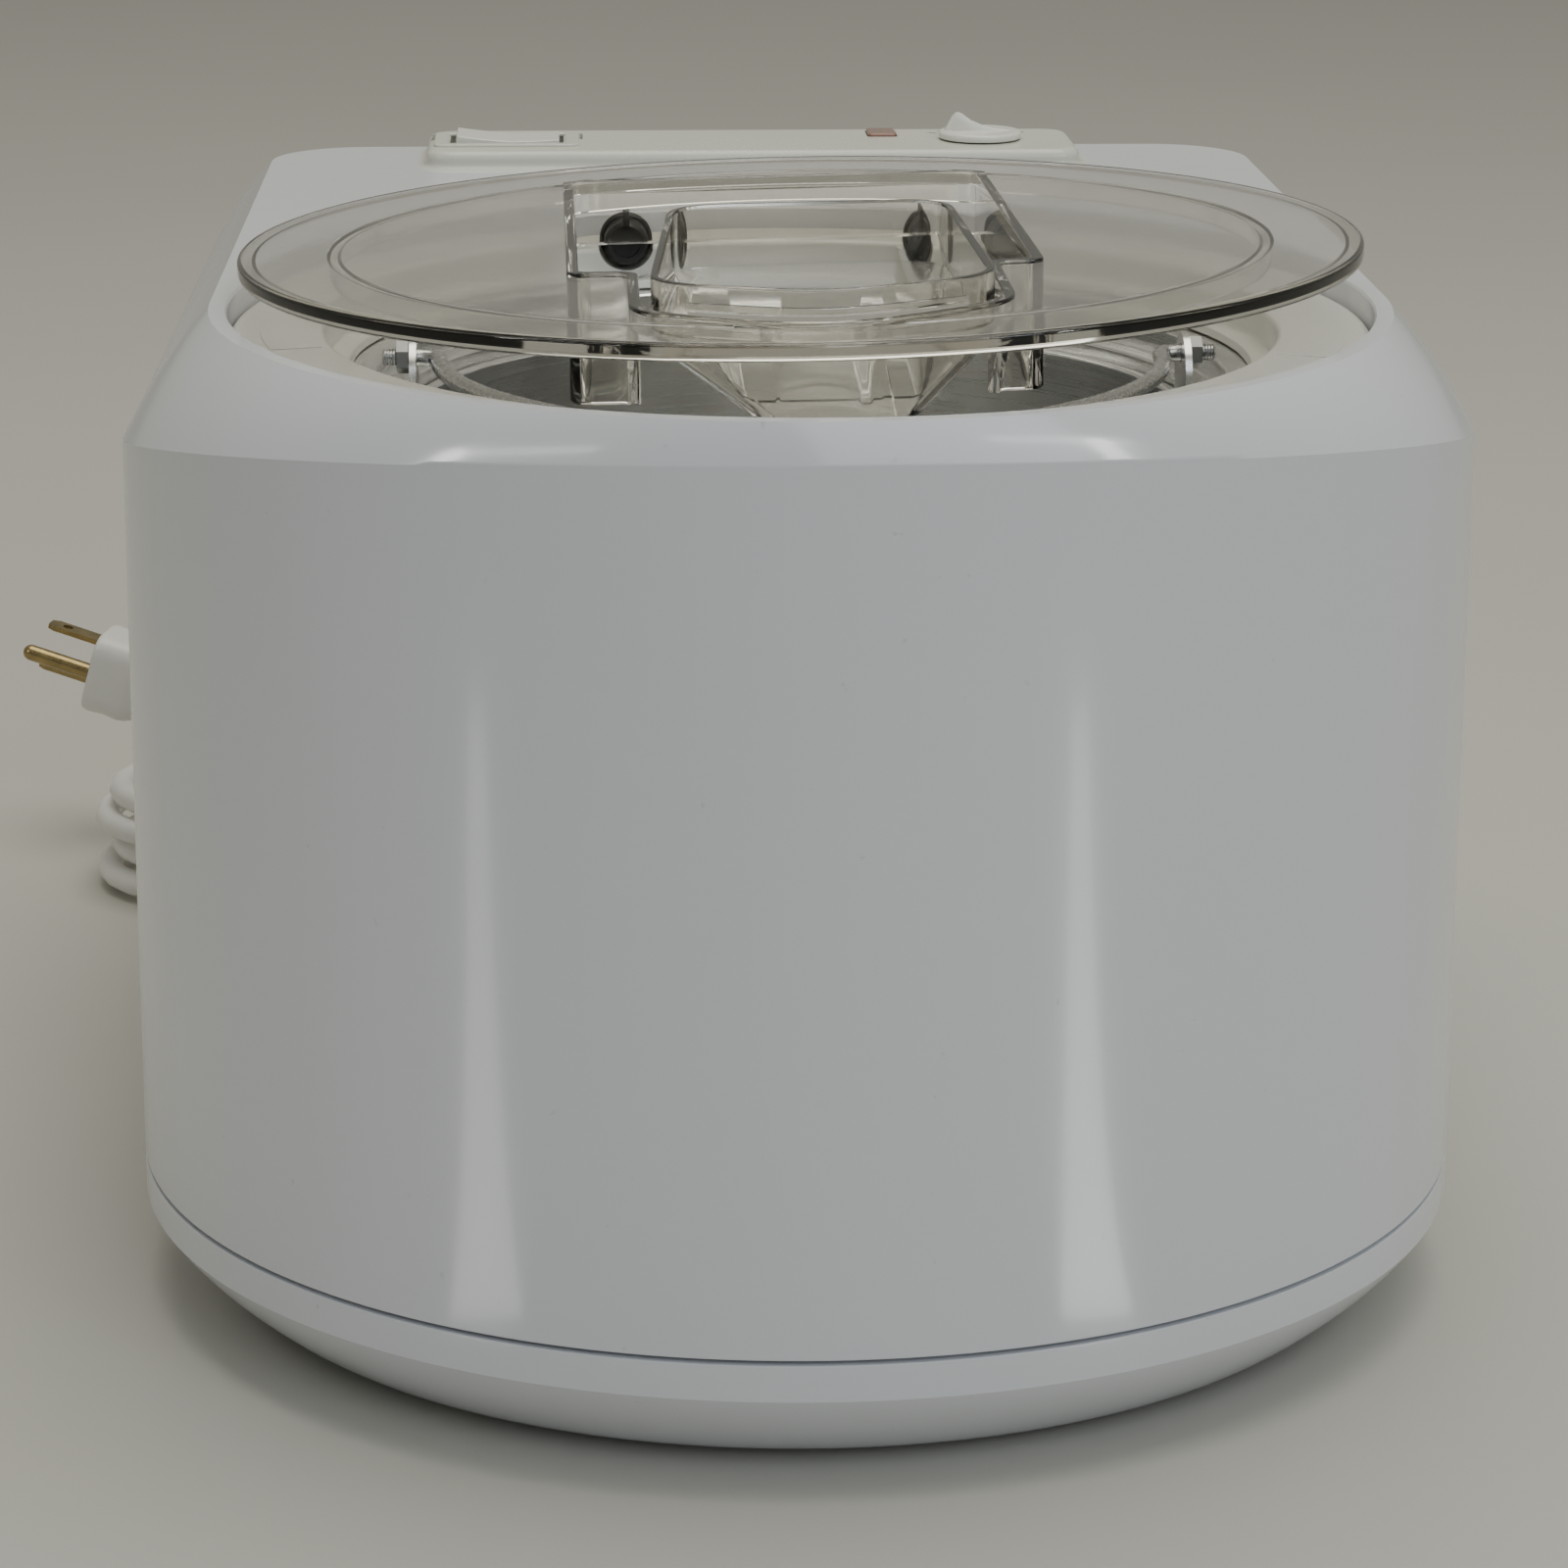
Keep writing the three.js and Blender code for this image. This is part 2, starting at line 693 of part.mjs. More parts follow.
const ledge_base = ledge - surround_thick;
const collar_base = ledge - collar_depth;
const step_base = collar_base - step_thick;
const stop_y = well_y + Math.sqrt(collar_radius ** 2 - stop_x ** 2) + stop_flange_radius;
let surround = revolve([
  [collar_radius - step_reach, step_base], [collar_radius + collar_wall, step_base],
  [collar_radius + collar_wall, ledge_base], [surround_radius, ledge_base],
  [surround_radius, ledge], [collar_radius + overrun, ledge], [collar_radius, ledge - overrun],
  [collar_radius, collar_base], [collar_radius - step_reach, collar_base],
  [collar_radius - step_reach, step_base],
], 52, 0, well_y);
const stop_front = stop_y - stop_button_length;
[-stop_x, stop_x].forEach((x) => {
  const cradle = rod(
    'y', stop_flange_radius + clearance + stop_cradle, stop_front + overrun, stop_y + stop_flange_thick
      + clearance + stop_cradle, x, stop_height, 14,
  ).intersect(block(
    x - body_width, x + body_width, front_y, rear_y, 0, ledge - overrun,
  ));
  surround = surround.add(cradle);
  surround = surround.subtract(rod(
    'y', stop_flange_radius + clearance, stop_front - 2 * collar_wall, stop_y + stop_flange_thick + clearance,
    x, stop_height, 16,
  ));
});
add('well_surround', surround, finish.ivory);

[['left', -stop_x], ['right', stop_x]].forEach(([side, x]) => {
  const tab_half = stop_tab / 2;
  const stop = rod('y', stop_flange_radius, stop_y, stop_y + stop_flange_thick, x, stop_height, 16)
    .add(rod('y', stop_button_radius, stop_front, stop_y + overrun, x, stop_height, 16))
    .add(block(
      x - tab_half, x + tab_half, stop_front, stop_y + stop_flange_thick,
      stop_height, stop_height + stop_flange_radius + stop_tab,
    ));
  add(`lid_stop_${side}`, stop, finish.black);
});

// Fixed cold well: a sheet cup with a flange and a core tube for the spindle bush

const bush_bore = spindle_radius + clearance;
const bush_radius = bush_bore + bush_wall;
const core_bore = bush_radius + clearance;
const core_top = bowl_core_height - 4 * bowl_sheet;
const flange_top = step_base - clearance;
const cup_outer = well_radius + well_sheet;
const fixed_floor_top = well_floor + well_sheet;
add('fixed_bowl', revolve([
  [core_bore, well_floor], [cup_outer, well_floor], [cup_outer, shelf_height - well_sheet],
  [cup_outer + shelf_reach, shelf_height - well_sheet], [cup_outer + shelf_reach, flange_top - well_sheet],
  [cup_outer + flange_reach, flange_top - well_sheet], [cup_outer + flange_reach, flange_top],
  [well_radius + shelf_reach, flange_top], [well_radius + shelf_reach, shelf_height],
  [well_radius, shelf_height], [well_radius, fixed_floor_top], [core_bore + well_sheet, fixed_floor_top],
  [core_bore + well_sheet, core_top], [core_bore, core_top], [core_bore, well_floor],
], 40, 0, well_y), finish.bowl_metal);

// Evaporator tube, wound round the cold well
const coil_radius = (cup_outer + clearance + coil_tube / 2) / Math.cos(Math.PI / coil_steps);
const coil_points = Array.from({ length: coil_turns * coil_steps + 1 }, (_, i) => {
  const angle = (2 * Math.PI * i) / coil_steps;
  return [
    coil_radius * Math.cos(angle), well_y + coil_radius * Math.sin(angle), coil_base + (coil_pitch * i) / coil_steps,
  ];
});
add('evaporator_coil', pipe(coil_points, coil_tube / 2, 6, coil_turns * coil_steps), finish.copper);

// Foam jacket round the coil, standing on the posts of the tray
const jacket_bore = coil_radius + coil_tube / 2 + 2 * clearance;
const jacket_shelf = well_floor - clearance;
const jacket_top = flange_top - well_sheet - clearance;
add('insulation_jacket', revolve([
  [core_bore + wall, jacket_base], [jacket_radius, jacket_base], [jacket_radius, jacket_top],
  [jacket_bore, jacket_top], [jacket_bore, jacket_shelf], [core_bore + wall, jacket_shelf],
  [core_bore + wall, jacket_base],
], 32, 0, well_y), finish.foam);

// Spindle, bush and pulley
const pulley_face = pulley_base + pulley_flange;
const pulley_top = pulley_face + belt_width + 2 * clearance + pulley_flange;
const bush_base = jacket_base - clearance - bush_flange;
add('spindle_bush', revolve([
  [bush_bore, bush_base], [bush_radius + wall + bush_flange, bush_base],
  [bush_radius + wall + bush_flange, bush_base + bush_flange], [bush_radius, bush_base + bush_flange],
  [bush_radius, core_top], [bush_bore, core_top], [bush_bore, bush_base],
], 16, 0, well_y), finish.brass);

const drive_flat = spindle_radius * Math.SQRT1_2;
const hex_base = spindle_top - spindle_flat_height;
const spindle = disc(spindle_radius, pulley_base - wall, hex_base, 24, 0, well_y)
  .add(block(-drive_flat, drive_flat, well_y - drive_flat, well_y + drive_flat, hex_base - overrun, spindle_top));
add('drive_spindle', spindle, finish.steel);

function pulley(radius, bore, x, y, segments, hub_radius, hub_z) {
  const rim = radius + pulley_flange_reach;
  const inner = radius - 2 * wall;
  const web0 = pulley_face + wall;
  const web1 = web0 + wall;
  const profile = inner > 2 * hub_radius
    ? [
      [bore, web0], [inner, web0], [inner, pulley_base], [rim, pulley_base], [rim, pulley_face],
      [radius, pulley_face], [radius, pulley_top - pulley_flange], [rim, pulley_top - pulley_flange],
      [rim, pulley_top], [inner, pulley_top], [inner, web1], [hub_radius, web1], [hub_radius, hub_z],
      [bore, hub_z], [bore, web0],
    ]
    : [
      [bore, pulley_base], [rim, pulley_base], [rim, pulley_face], [radius, pulley_face],
      [radius, pulley_top - pulley_flange], [rim, pulley_top - pulley_flange], [rim, pulley_top],
      [bore, pulley_top], [bore, pulley_base],
    ];
  return revolve(profile, segments, x, y);
}

const pulley_hub = spindle_radius + 2 * wall;
let drive_pulley = pulley(
  drive_pulley_radius, spindle_radius + clearance, 0, well_y, 24, pulley_hub, bush_base - clearance,
);
const lightening_count = 4;
const lightening_ring = (drive_pulley_radius - 2 * wall + pulley_hub) / 2;
const lightening_radius = (drive_pulley_radius - 2 * wall - pulley_hub) / 2 - wall;
ring_points(lightening_ring, lightening_count, 0, well_y).forEach(([x, y]) => {
  drive_pulley = drive_pulley.subtract(disc(lightening_radius, pulley_base, pulley_top, 8, x, y));
});
add('drive_pulley', drive_pulley, finish.black);
add('motor_pulley', pulley(
  motor_pulley_radius, motor_shaft_radius + clearance, motor_x, motor_y, 20, motor_pulley_radius, pulley_top,
), finish.steel);

// Belt: two arcs joined by their common tangents
const belt_base = pulley_face + clearance;
function belt_outline(grow) {
  const centre_distance = Math.hypot(motor_x, motor_y - well_y);
  const heading = Math.atan2(motor_y - well_y, motor_x);
  const lean = Math.acos((drive_pulley_radius - motor_pulley_radius) / centre_distance);
  const arc = (x, y, radius, from, to, steps) => Array.from({ length: steps + 1 }, (_, i) => {
    const angle = from + ((to - from) * i) / steps;
    return [x + radius * Math.cos(angle), y + radius * Math.sin(angle)];
  });
  return [
    ...arc(motor_x, motor_y, motor_pulley_radius + grow, heading - lean, heading + lean, 8),
    ...arc(0, well_y, drive_pulley_radius + grow, heading + lean, heading + 2 * Math.PI - lean, 28),
  ];
}
add('drive_belt', prism(belt_outline(belt_gap + belt_thick), belt_base, belt_base + belt_width)
  .subtract(prism(belt_outline(belt_gap), belt_base - overrun, belt_base + belt_width + overrun)), finish.black);

// Drive motor hangs under its bracket, which stands on the tray floor.
const bracket_z = pulley_top + 2 * wall;
const bracket_half = motor_radius + bracket_thick + clearance;
let bracket = block(
  motor_x - bracket_half, motor_x + bracket_half, motor_y - motor_radius / 2, motor_y + motor_radius / 2,
  bracket_z, bracket_z + bracket_thick,
);
[-1, 1].forEach((side) => {
  const inner = motor_x + side * (bracket_half - bracket_thick);
  const outer = motor_x + side * bracket_half;
  bracket = bracket.add(block(
    Math.min(inner, outer), Math.max(inner, outer), motor_y - motor_radius / 2, motor_y + motor_radius / 2,
    tray_floor + clearance, bracket_z + bracket_thick,
  ));
});
bracket = bracket.subtract(disc(
  2 * motor_shaft_radius, bracket_z - overrun, bracket_z + bracket_thick + overrun, 16, motor_x, motor_y,
));
add('motor_bracket', bracket, finish.steel);
const motor_base = bracket_z + bracket_thick + clearance;
add('drive_motor', revolve([
  [0, pulley_base], [motor_shaft_radius, pulley_base], [motor_shaft_radius, motor_base],
  [motor_radius - wall, motor_base], [motor_radius, motor_base + wall],
  [motor_radius, motor_base + motor_height - wall], [motor_radius - wall, motor_base + motor_height],
  [motor_shaft_radius * 2, motor_base + motor_height], [motor_shaft_radius * 2, motor_base + motor_height + wall],
  [0, motor_base + motor_height + wall],
], 20, motor_x, motor_y), finish.steel);

// Removable bowl: spun cup with a rolled rim, a core that clears the bush tube, and two ears

const bowl_bore = bowl_radius - bowl_sheet;
const bowl_floor = fixed_floor_top + clearance;
const bowl_floor_top = bowl_floor + bowl_sheet;
const core_inner = bowl_core_radius - bowl_sheet;
const rim_outer = bowl_radius + bowl_rim_reach;
const bowl_corner_share = 0.3;
let bowl = revolve([
  [core_inner, bowl_floor], [bowl_radius - bowl_fillet, bowl_floor],
  [bowl_radius - bowl_fillet * bowl_corner_share, bowl_floor + bowl_fillet * bowl_corner_share],
  [bowl_radius, bowl_floor + bowl_fillet], [bowl_radius, bowl_rim_height - bowl_rim_thick],
  [rim_outer, bowl_rim_height - bowl_rim_thick + overrun / 2], [rim_outer, bowl_rim_height - overrun],
  [bowl_radius, bowl_rim_height], [bowl_bore, bowl_rim_height - overrun / 2],
  [bowl_bore, bowl_floor + bowl_fillet],
  [bowl_bore - bowl_fillet * bowl_corner_share, bowl_floor_top + bowl_fillet * bowl_corner_share],
  [bowl_bore - bowl_fillet, bowl_floor_top], [bowl_core_radius, bowl_floor_top],
  [bowl_core_radius, bowl_core_height], [core_inner, bowl_core_height], [core_inner, bowl_floor],
], 40, 0, well_y);
const ear_inner = bowl_radius - ear_sheet / 5;
const ear_outer = ear_inner + ear_sheet;
const ear_low = bowl_rim_height - 2 * ear_half_width;
const ear_round = ear_top - ear_half_width;
[-1, 1].forEach((side) => {
  const [near, far] = side > 0 ? [ear_inner, ear_outer] : [-ear_outer, -ear_inner];
  const ear = block(near, far, well_y - ear_half_width, well_y + ear_half_width, ear_low, ear_round)
    .add(rod('x', ear_half_width, near, far, well_y, ear_round, 20))
    .subtract(rod('x', bail_wire / 2 + clearance, near - overrun, far + overrun, well_y, bail_height, 12));
  bowl = bowl.add(ear);
});
add('removable_bowl', bowl, finish.bowl_metal);

// Bail: a wire bow, folded forward, with its ends through the ears
const bail_points = [];
const bail_bend = 3;
for (let i = 0; i <= 20; i += 1) {
  const angle = Math.PI * (1 + i / 20);
  bail_points.push([
    bail_half_width * Math.cos(angle), well_y + bail_reach * Math.sin(angle) - (i % 20 ? 0 : bail_bend),
    bail_height,
  ]);
}
const bail = pipe([
  [-bail_end, well_y, bail_height], [-ear_outer, well_y, bail_height],
  [-bail_half_width - bail_bend / 2, well_y - bail_bend / 4, bail_height],
  ...bail_points,
  [bail_half_width + bail_bend / 2, well_y - bail_bend / 4, bail_height],
  [ear_outer, well_y, bail_height], [bail_end, well_y, bail_height],
], bail_wire / 2, 6, 34);
add('bail_handle', bail, finish.steel);
[['left', -1], ['right', 1]].forEach(([name, side]) => {
  const near = side * (ear_outer + clearance);
  const far = near + side * nut_thick;
  const nut = rod('x', nut_radius, Math.min(near, far), Math.max(near, far), well_y, bail_height, 6)
    .subtract(rod(
      'x', bail_wire / 2 + clearance, Math.min(near, far) - overrun, Math.max(near, far) + overrun,
      well_y, bail_height, 12,
    ));
  add(`bail_nut_${name}`, nut, finish.steel);
});

// Paddle: a hub over the core of the bowl, two swept arms and two scraper posts

const hub_bore = bowl_core_radius + 2 * clearance;
const hub_radius = hub_bore + hub_wall;
const paddle_base = bowl_floor_top + 2 * clearance;
const socket_base = bowl_core_height + wall;
let paddle = disc(hub_radius, paddle_base, hub_top, 20, 0, well_y);
const post_inner = paddle_reach - paddle_post_length;
const post_outline = rounded([
  [post_inner, -paddle_post_thick / 2, paddle_post_thick / 3],
  [paddle_reach - overrun, -paddle_post_thick, paddle_post_thick / 2],
  [paddle_reach, 0, paddle_post_thick / 4],
  [post_inner, paddle_post_thick / 2, paddle_post_thick / 3],
], 2);
function swept_arm(sweep) {
  const half = paddle_arm_thick / 2;
  const bow = new THREE.QuadraticBezierCurve(
    new THREE.Vector2(0, 0), new THREE.Vector2(post_inner / 2, -2 * sweep),
    new THREE.Vector2(post_inner + overrun, 0),
  ).getPoints(8);
  return [...bow.map((p) => [p.x, p.y - half]), ...bow.reverse().map((p) => [p.x, p.y + half / 2])];
}
function turned(outline, side) {
  return outline.map(([x, y]) => [side * x, well_y + side * y]);
}
const scraper_base = paddle_base + bowl_fillet / 2;
const scraper_top = bowl_rim_height - 2 * bowl_fillet;
[-1, 1].forEach((side) => {
  paddle = paddle.add(prism(turned(swept_arm(paddle_sweep), side), paddle_base, paddle_base + paddle_arm_height));
  paddle = paddle.add(prism(
    turned(swept_arm(paddle_sweep / 2), side), scraper_top - paddle_top_arm_height, scraper_top,
  ));
  paddle = paddle.add(prism(turned(post_outline, side), scraper_base, scraper_top));
});
paddle = paddle.subtract(disc(hub_bore, paddle_base - overrun, socket_base, 20, 0, well_y));
const socket_half = drive_flat + clearance;
paddle = paddle.subtract(disc(
  spindle_radius + 2 * clearance, socket_base - overrun, spindle_top + clearance, 16, 0, well_y,
)).add(tube_ring(
  spindle_radius + 2 * clearance - overrun / 2, hub_bore + overrun / 2, socket_base + wall,
  spindle_top + overrun, 16, 0, well_y,
)).subtract(block(
  -socket_half, socket_half, well_y - socket_half, well_y + socket_half,
  socket_base - overrun, spindle_top + clearance,
)).subtract(disc(spindle_radius + 2 * clearance, socket_base - overrun, hex_base + clearance, 16, 0, well_y));
add('paddle', paddle, finish.paddle);

// Lid: a smoky disc that lies a little askew, its window walls low over the bowl

const lid = new THREE.Group();
lid.position.set(0, well_y + lid_setback, lid_height);
lid.rotation.set(-lid_pitch, -lid_roll, 0);
part.add(lid);
const rim_inner = lid_radius - lid_rim_width;
const skirt_base = -lid_plate - skirt_depth;
const front_wall_share = 0.8;
const window_outer = rounded([
  [window_x - window_half_width, window_front, window_corner],
  [window_x, window_front - window_bulge, window_half_width / 2],
  [window_x + window_half_width, window_front, window_corner],
  [window_x + window_half_width, window_rear, window_corner],
  [window_x - window_half_width, window_rear, window_corner],
]);
const window_inner = rounded([
  [window_x - window_half_width + window_wall, window_front + window_wall * front_wall_share, window_corner / 2],
  [window_x, window_front - window_bulge + window_wall, window_half_width / 2],
  [window_x + window_half_width - window_wall, window_front + window_wall * front_wall_share, window_corner / 2],
  [window_x + window_half_width - window_wall, window_rear - window_wall, window_corner / 2],
  [window_x - window_half_width + window_wall, window_rear - window_wall, window_corner / 2],
]);
let lid_body = revolve([
  [0, -lid_plate], [skirt_radius - skirt_wall, -lid_plate], [skirt_radius - skirt_wall, skirt_base],
  [skirt_radius, skirt_base], [skirt_radius, -lid_plate], [rim_inner, -lid_plate],
  [rim_inner + overrun, -lid_rim_height], [lid_radius - overrun, -lid_rim_height],
  [lid_radius, -lid_rim_height + overrun], [lid_radius, -overrun], [lid_radius - overrun, 0], [0, 0],
], 52);
lid_body = lid_body.add(prism(window_outer, -window_below, window_above));
lid_body = lid_body.subtract(prism(window_inner, -window_below - overrun, window_above + overrun));
add('lid', lid_body, finish.clear, lid);

// Funnel: a straight band over a tapering throat, open at both ends, hooked on the window's front wall
const window_front_inner = window_front + window_wall;
const funnel_gap = 2 * clearance;
function funnel_ring(taper, inset, z) {
  const mix = (a, b) => a + (b - a) * taper;
  const rear = mix(funnel_rear, funnel_foot_rear) - inset;
  const rear_half = mix(funnel_rear_half, funnel_foot_half) - inset;
  const front_half = mix(funnel_front_half, funnel_foot_front_half) - inset;
  const side_front = mix(window_front_inner + funnel_gap + funnel_corner / 3, funnel_foot_front + inset) + inset;
  const bulge = mix(window_bulge * funnel_bulge_share, funnel_foot_bulge);
  const corner = mix(funnel_corner, funnel_corner / 2) - inset;
  return rounded([
    [funnel_x + window_x - front_half, side_front, corner],
    [funnel_x + window_x, side_front - bulge, funnel_foot_half / 2],
    [funnel_x + window_x + front_half, side_front, corner],
    [funnel_x + window_x + rear_half, rear, corner],
    [funnel_x + window_x - rear_half, rear, corner],
  ]).map(([x, y]) => [x, y, z]);
}
const band_base = funnel_top - funnel_band;
let funnel = loft([
  funnel_ring(1, 0, funnel_bottom), funnel_ring(0, 0, band_base), funnel_ring(0, 0, funnel_top),
]);
const hook_base = window_above + clearance;
const hook = prism(window_outer, hook_base, hook_base + funnel_hook)
  .intersect(block(
    funnel_x + window_x - funnel_front_half + funnel_corner, funnel_x + window_x + funnel_front_half
      - funnel_corner, window_front - window_bulge, window_front + window_wall, -lid_height, lid_height,
  ));
funnel = funnel.add(hook).subtract(loft([
  funnel_ring(1, funnel_wall, funnel_bottom), funnel_ring(0, funnel_wall, band_base + overrun / 2),
  funnel_ring(0, funnel_wall, funnel_top + overrun),
])).subtract(loft([
  funnel_ring(1, funnel_wall, funnel_bottom - overrun), funnel_ring(1, funnel_wall, funnel_bottom + overrun),
]));
add('funnel', funnel, finish.clear, lid);

// Control panel on the rear deck

const panel_base = deck_height + clearance;
const panel_top = deck_height + panel_rise;
let panel = prism(plate(panel_left, panel_right, panel_front, panel_rear, panel_corner), panel_base, panel_top);
panel = panel.subtract(switch_cut).subtract(timer_cut);
const lamp_half_width = lamp_width / 2 + clearance;
const lamp_half_length = lamp_length / 2 + clearance;
panel = panel.subtract(lamp_cut).subtract(block(
  lamp_x - lamp_half_width, lamp_x + lamp_half_width, lamp_y - lamp_half_length, lamp_y + lamp_half_length,
  panel_top - wall, panel_top + overrun,
));
add('control_panel', panel, finish.ivory);

const lamp_seat = panel_top - wall + clearance;
add('lamp_lens', prism(plate(
  lamp_x - lamp_width / 2, lamp_x + lamp_width / 2, lamp_y - lamp_length / 2, lamp_y + lamp_length / 2, overrun,
), lamp_seat, panel_top + lamp_rise), finish.amber);

const bezel_base = panel_top + clearance;
const rocker_half_length = rocker_length / 2 + rocker_dip + clearance;
const rocker_half_width = rocker_width / 2 + 2 * clearance;
add('switch_bezel', prism(plate(
  bezel_x - bezel_length / 2, bezel_x + bezel_length / 2, bezel_y - bezel_width / 2, bezel_y + bezel_width / 2,
  wall,
), bezel_base, bezel_base + bezel_rise).subtract(block(
  bezel_x - rocker_half_length, bezel_x + rocker_half_length, bezel_y - rocker_half_width,
  bezel_y + rocker_half_width, panel_top, bezel_base + bezel_rise + overrun,
)), finish.ivory);

// Rocker: a shallow V on a pivot along Y under the panel
const rocker_pivot = deck_height - wall;
const rocker_top = bezel_base + bezel_rise + rocker_rise;
const rocker = new THREE.Group();
rocker.position.set(bezel_x, bezel_y, rocker_pivot);
rocker.rotation.set(0, rocker_angle, 0);
part.add(rocker);
const rocker_local_top = rocker_top - rocker_pivot;
const rocker_side = [
  [-rocker_length / 2, -rocker_well / 2], [rocker_length / 2, -rocker_well / 2],
  [rocker_length / 2, rocker_local_top], [0, rocker_local_top - rocker_dip],
  [-rocker_length / 2, rocker_local_top],
];
const rocker_geometry = new THREE.ExtrudeGeometry(
  new THREE.Shape(rocker_side.map(([x, z]) => new THREE.Vector2(x, z))),
  { depth: rocker_width, bevelEnabled: false },
);
rocker_geometry.rotateX(Math.PI / 2);
rocker_geometry.translate(0, rocker_width / 2, 0);
add('switch_rocker', solid(rocker_geometry), finish.ivory, rocker);

// Switch and timer bodies hang under the deck.
const body_top = deck_height - wall - clearance;
const switch_body_height = 18;
let switch_body = block(
  bezel_x - bezel_length / 2, bezel_x + bezel_length / 2, bezel_y - bezel_width / 2, bezel_y + bezel_width / 2,
  body_top - switch_body_height, body_top,
);
switch_body = switch_body.subtract(block(
  bezel_x - switch_half_length, bezel_x + switch_half_length, bezel_y - switch_half_width,
  bezel_y + switch_half_width, body_top - rocker_well, body_top + overrun,
));
add('switch_body', switch_body, finish.black);

const timer_radius = 16;
const timer_height = 24;
const knob_shaft_bore = knob_shaft + clearance;
add('timer_body', revolve([
  [0, body_top - timer_height], [timer_radius, body_top - timer_height], [timer_radius, body_top],
  [knob_shaft_bore, body_top], [knob_shaft_bore, body_top - timer_height / 2], [0, body_top - timer_height / 2],
], 18, knob_x, knob_y), finish.steel);

// Timer knob: a low disc with a tall finger fin and a shaft into the timer
const knob_base = panel_top + clearance;
const knob_disc_top = knob_base + knob_base_height;
const knob = revolve([
  [0, body_top - timer_height / 2 + clearance], [knob_shaft, body_top - timer_height / 2 + clearance],
  [knob_shaft, knob_base], [knob_radius, knob_base], [knob_radius, knob_disc_top - overrun],
  [knob_radius - overrun, knob_disc_top], [0, knob_disc_top],
], 20, knob_x, knob_y).add(loft([0, 0.5, 1].map((rise) => {
  const half = knob_radius - overrun - knob_fin_thick * rise * knob_taper_share;
  const thick = knob_fin_thick / 2 - (rise * knob_fin_thick) / 6;
  return rounded([
    [-half, -thick, thick / 2], [half, -thick, thick / 2], [half, thick, thick / 2], [-half, thick, thick / 2],
  ], 2).map(([x, y]) => [knob_x + x, knob_y + y, knob_disc_top - overrun / 2 + rise * knob_fin_height]);
})));
add('timer_knob', knob, finish.ivory);

// Refrigerant side: compressor on its plate, drier, pipes, condenser and fan

const compressor_foot = tray_floor + clearance;
const can_base = compressor_foot + compressor_base;
const can_top = can_base + compressor_height;
const can_foot_share = 0.7;
const can_seam_share = 0.45;
const can_shoulder_share = 0.4;
const can_crown_share = 0.75;
const can_crown_drop_share = 0.12;
const can_seam = can_base + compressor_height * can_seam_share;
const can_shoulder = can_top - compressor_radius * can_shoulder_share;
const can_crown = can_top - compressor_radius * can_crown_drop_share;
let compressor = revolve([
  [0, can_base - 2 * wall], [compressor_radius * can_foot_share, can_base - 2 * wall],
  [compressor_radius, can_base + 3 * wall], [compressor_radius, can_seam], [compressor_radius + wall, can_seam],
  [compressor_radius + wall, can_seam + 2 * wall], [compressor_radius, can_seam + 2 * wall],
  [compressor_radius, can_shoulder], [compressor_radius * can_crown_share, can_crown], [0, can_top],
], 24, compressor_x, compressor_y);
const plate_share = 0.8;
const plate_half = compressor_radius * plate_share;
compressor = compressor.add(prism(plate(
  compressor_x - plate_half, compressor_x + plate_half, compressor_y - plate_half, compressor_y + plate_half,
  2 * wall,
), can_base - wall * 3, can_base - wall));
add('compressor', compressor, finish.dark_paint);
const grommet_inset = plate_half - 3 * wall;
const grommet_radius = 2 * wall;
[['front_left', -1, -1], ['front_right', 1, -1], ['rear_left', -1, 1], ['rear_right', 1, 1]]
  .forEach(([name, sx, sy]) => {
    add(`grommet_${name}`, disc(
      grommet_radius, compressor_foot, can_base - wall * 3 - clearance, 12,
      compressor_x + sx * grommet_inset, compressor_y + sy * grommet_inset,
    ), finish.black);
  });

const condenser_rear = rear_y - wall - draft - condenser_rear_gap;
const condenser_front = condenser_rear - condenser_depth;
const condenser_right = condenser_left + condenser_width;
const condenser_y = (condenser_front + condenser_rear) / 2;
const condenser_top = condenser_base + condenser_height;
const fin_pitch = (condenser_width - fin_thick) / (fin_count - 1);
let condenser = block(
  condenser_left, condenser_right, condenser_front, condenser_rear, condenser_base, condenser_base + wall / 2,
);
condenser = condenser.add(block(
  condenser_left, condenser_right, condenser_front, condenser_rear, condenser_top - wall / 2, condenser_top,
));
for (let i = 0; i < fin_count; i += 1) {
  const x = condenser_left + i * fin_pitch;
  condenser = condenser.add(block(
    x, x + fin_thick, condenser_front, condenser_rear, condenser_base, condenser_top,
  ));
}
const tube_count = 2;
for (let i = 0; i < tube_count; i += 1) {
  const z = condenser_base + (condenser_height * (2 * i + 1)) / (2 * tube_count);
  condenser = condenser.add(rod(
    'x', pipe_radius, condenser_left - 2 * wall, condenser_right + 2 * wall, condenser_y, z, 6,
  ));
}
[-1, 1].forEach((side) => {
  const x = side < 0 ? condenser_left : condenser_right - fin_thick;
  condenser = condenser.add(block(
    x, x + fin_thick, condenser_front, condenser_rear, tray_floor + clearance, condenser_base + overrun,
  ));
});
add('condenser', condenser, finish.steel);

const fan_z = condenser_base + condenser_height / 2;
const shroud_front = condenser_front - clearance - shroud_thick;
let shroud = block(
  condenser_left, condenser_right, shroud_front, condenser_front - clearance, tray_floor + clearance,
  condenser_top,
);
shroud = shroud.subtract(rod(
  'y', fan_radius + wall, shroud_front - overrun, condenser_front, condenser_x, fan_z, 32,
));
add('fan_shroud', shroud, finish.black);

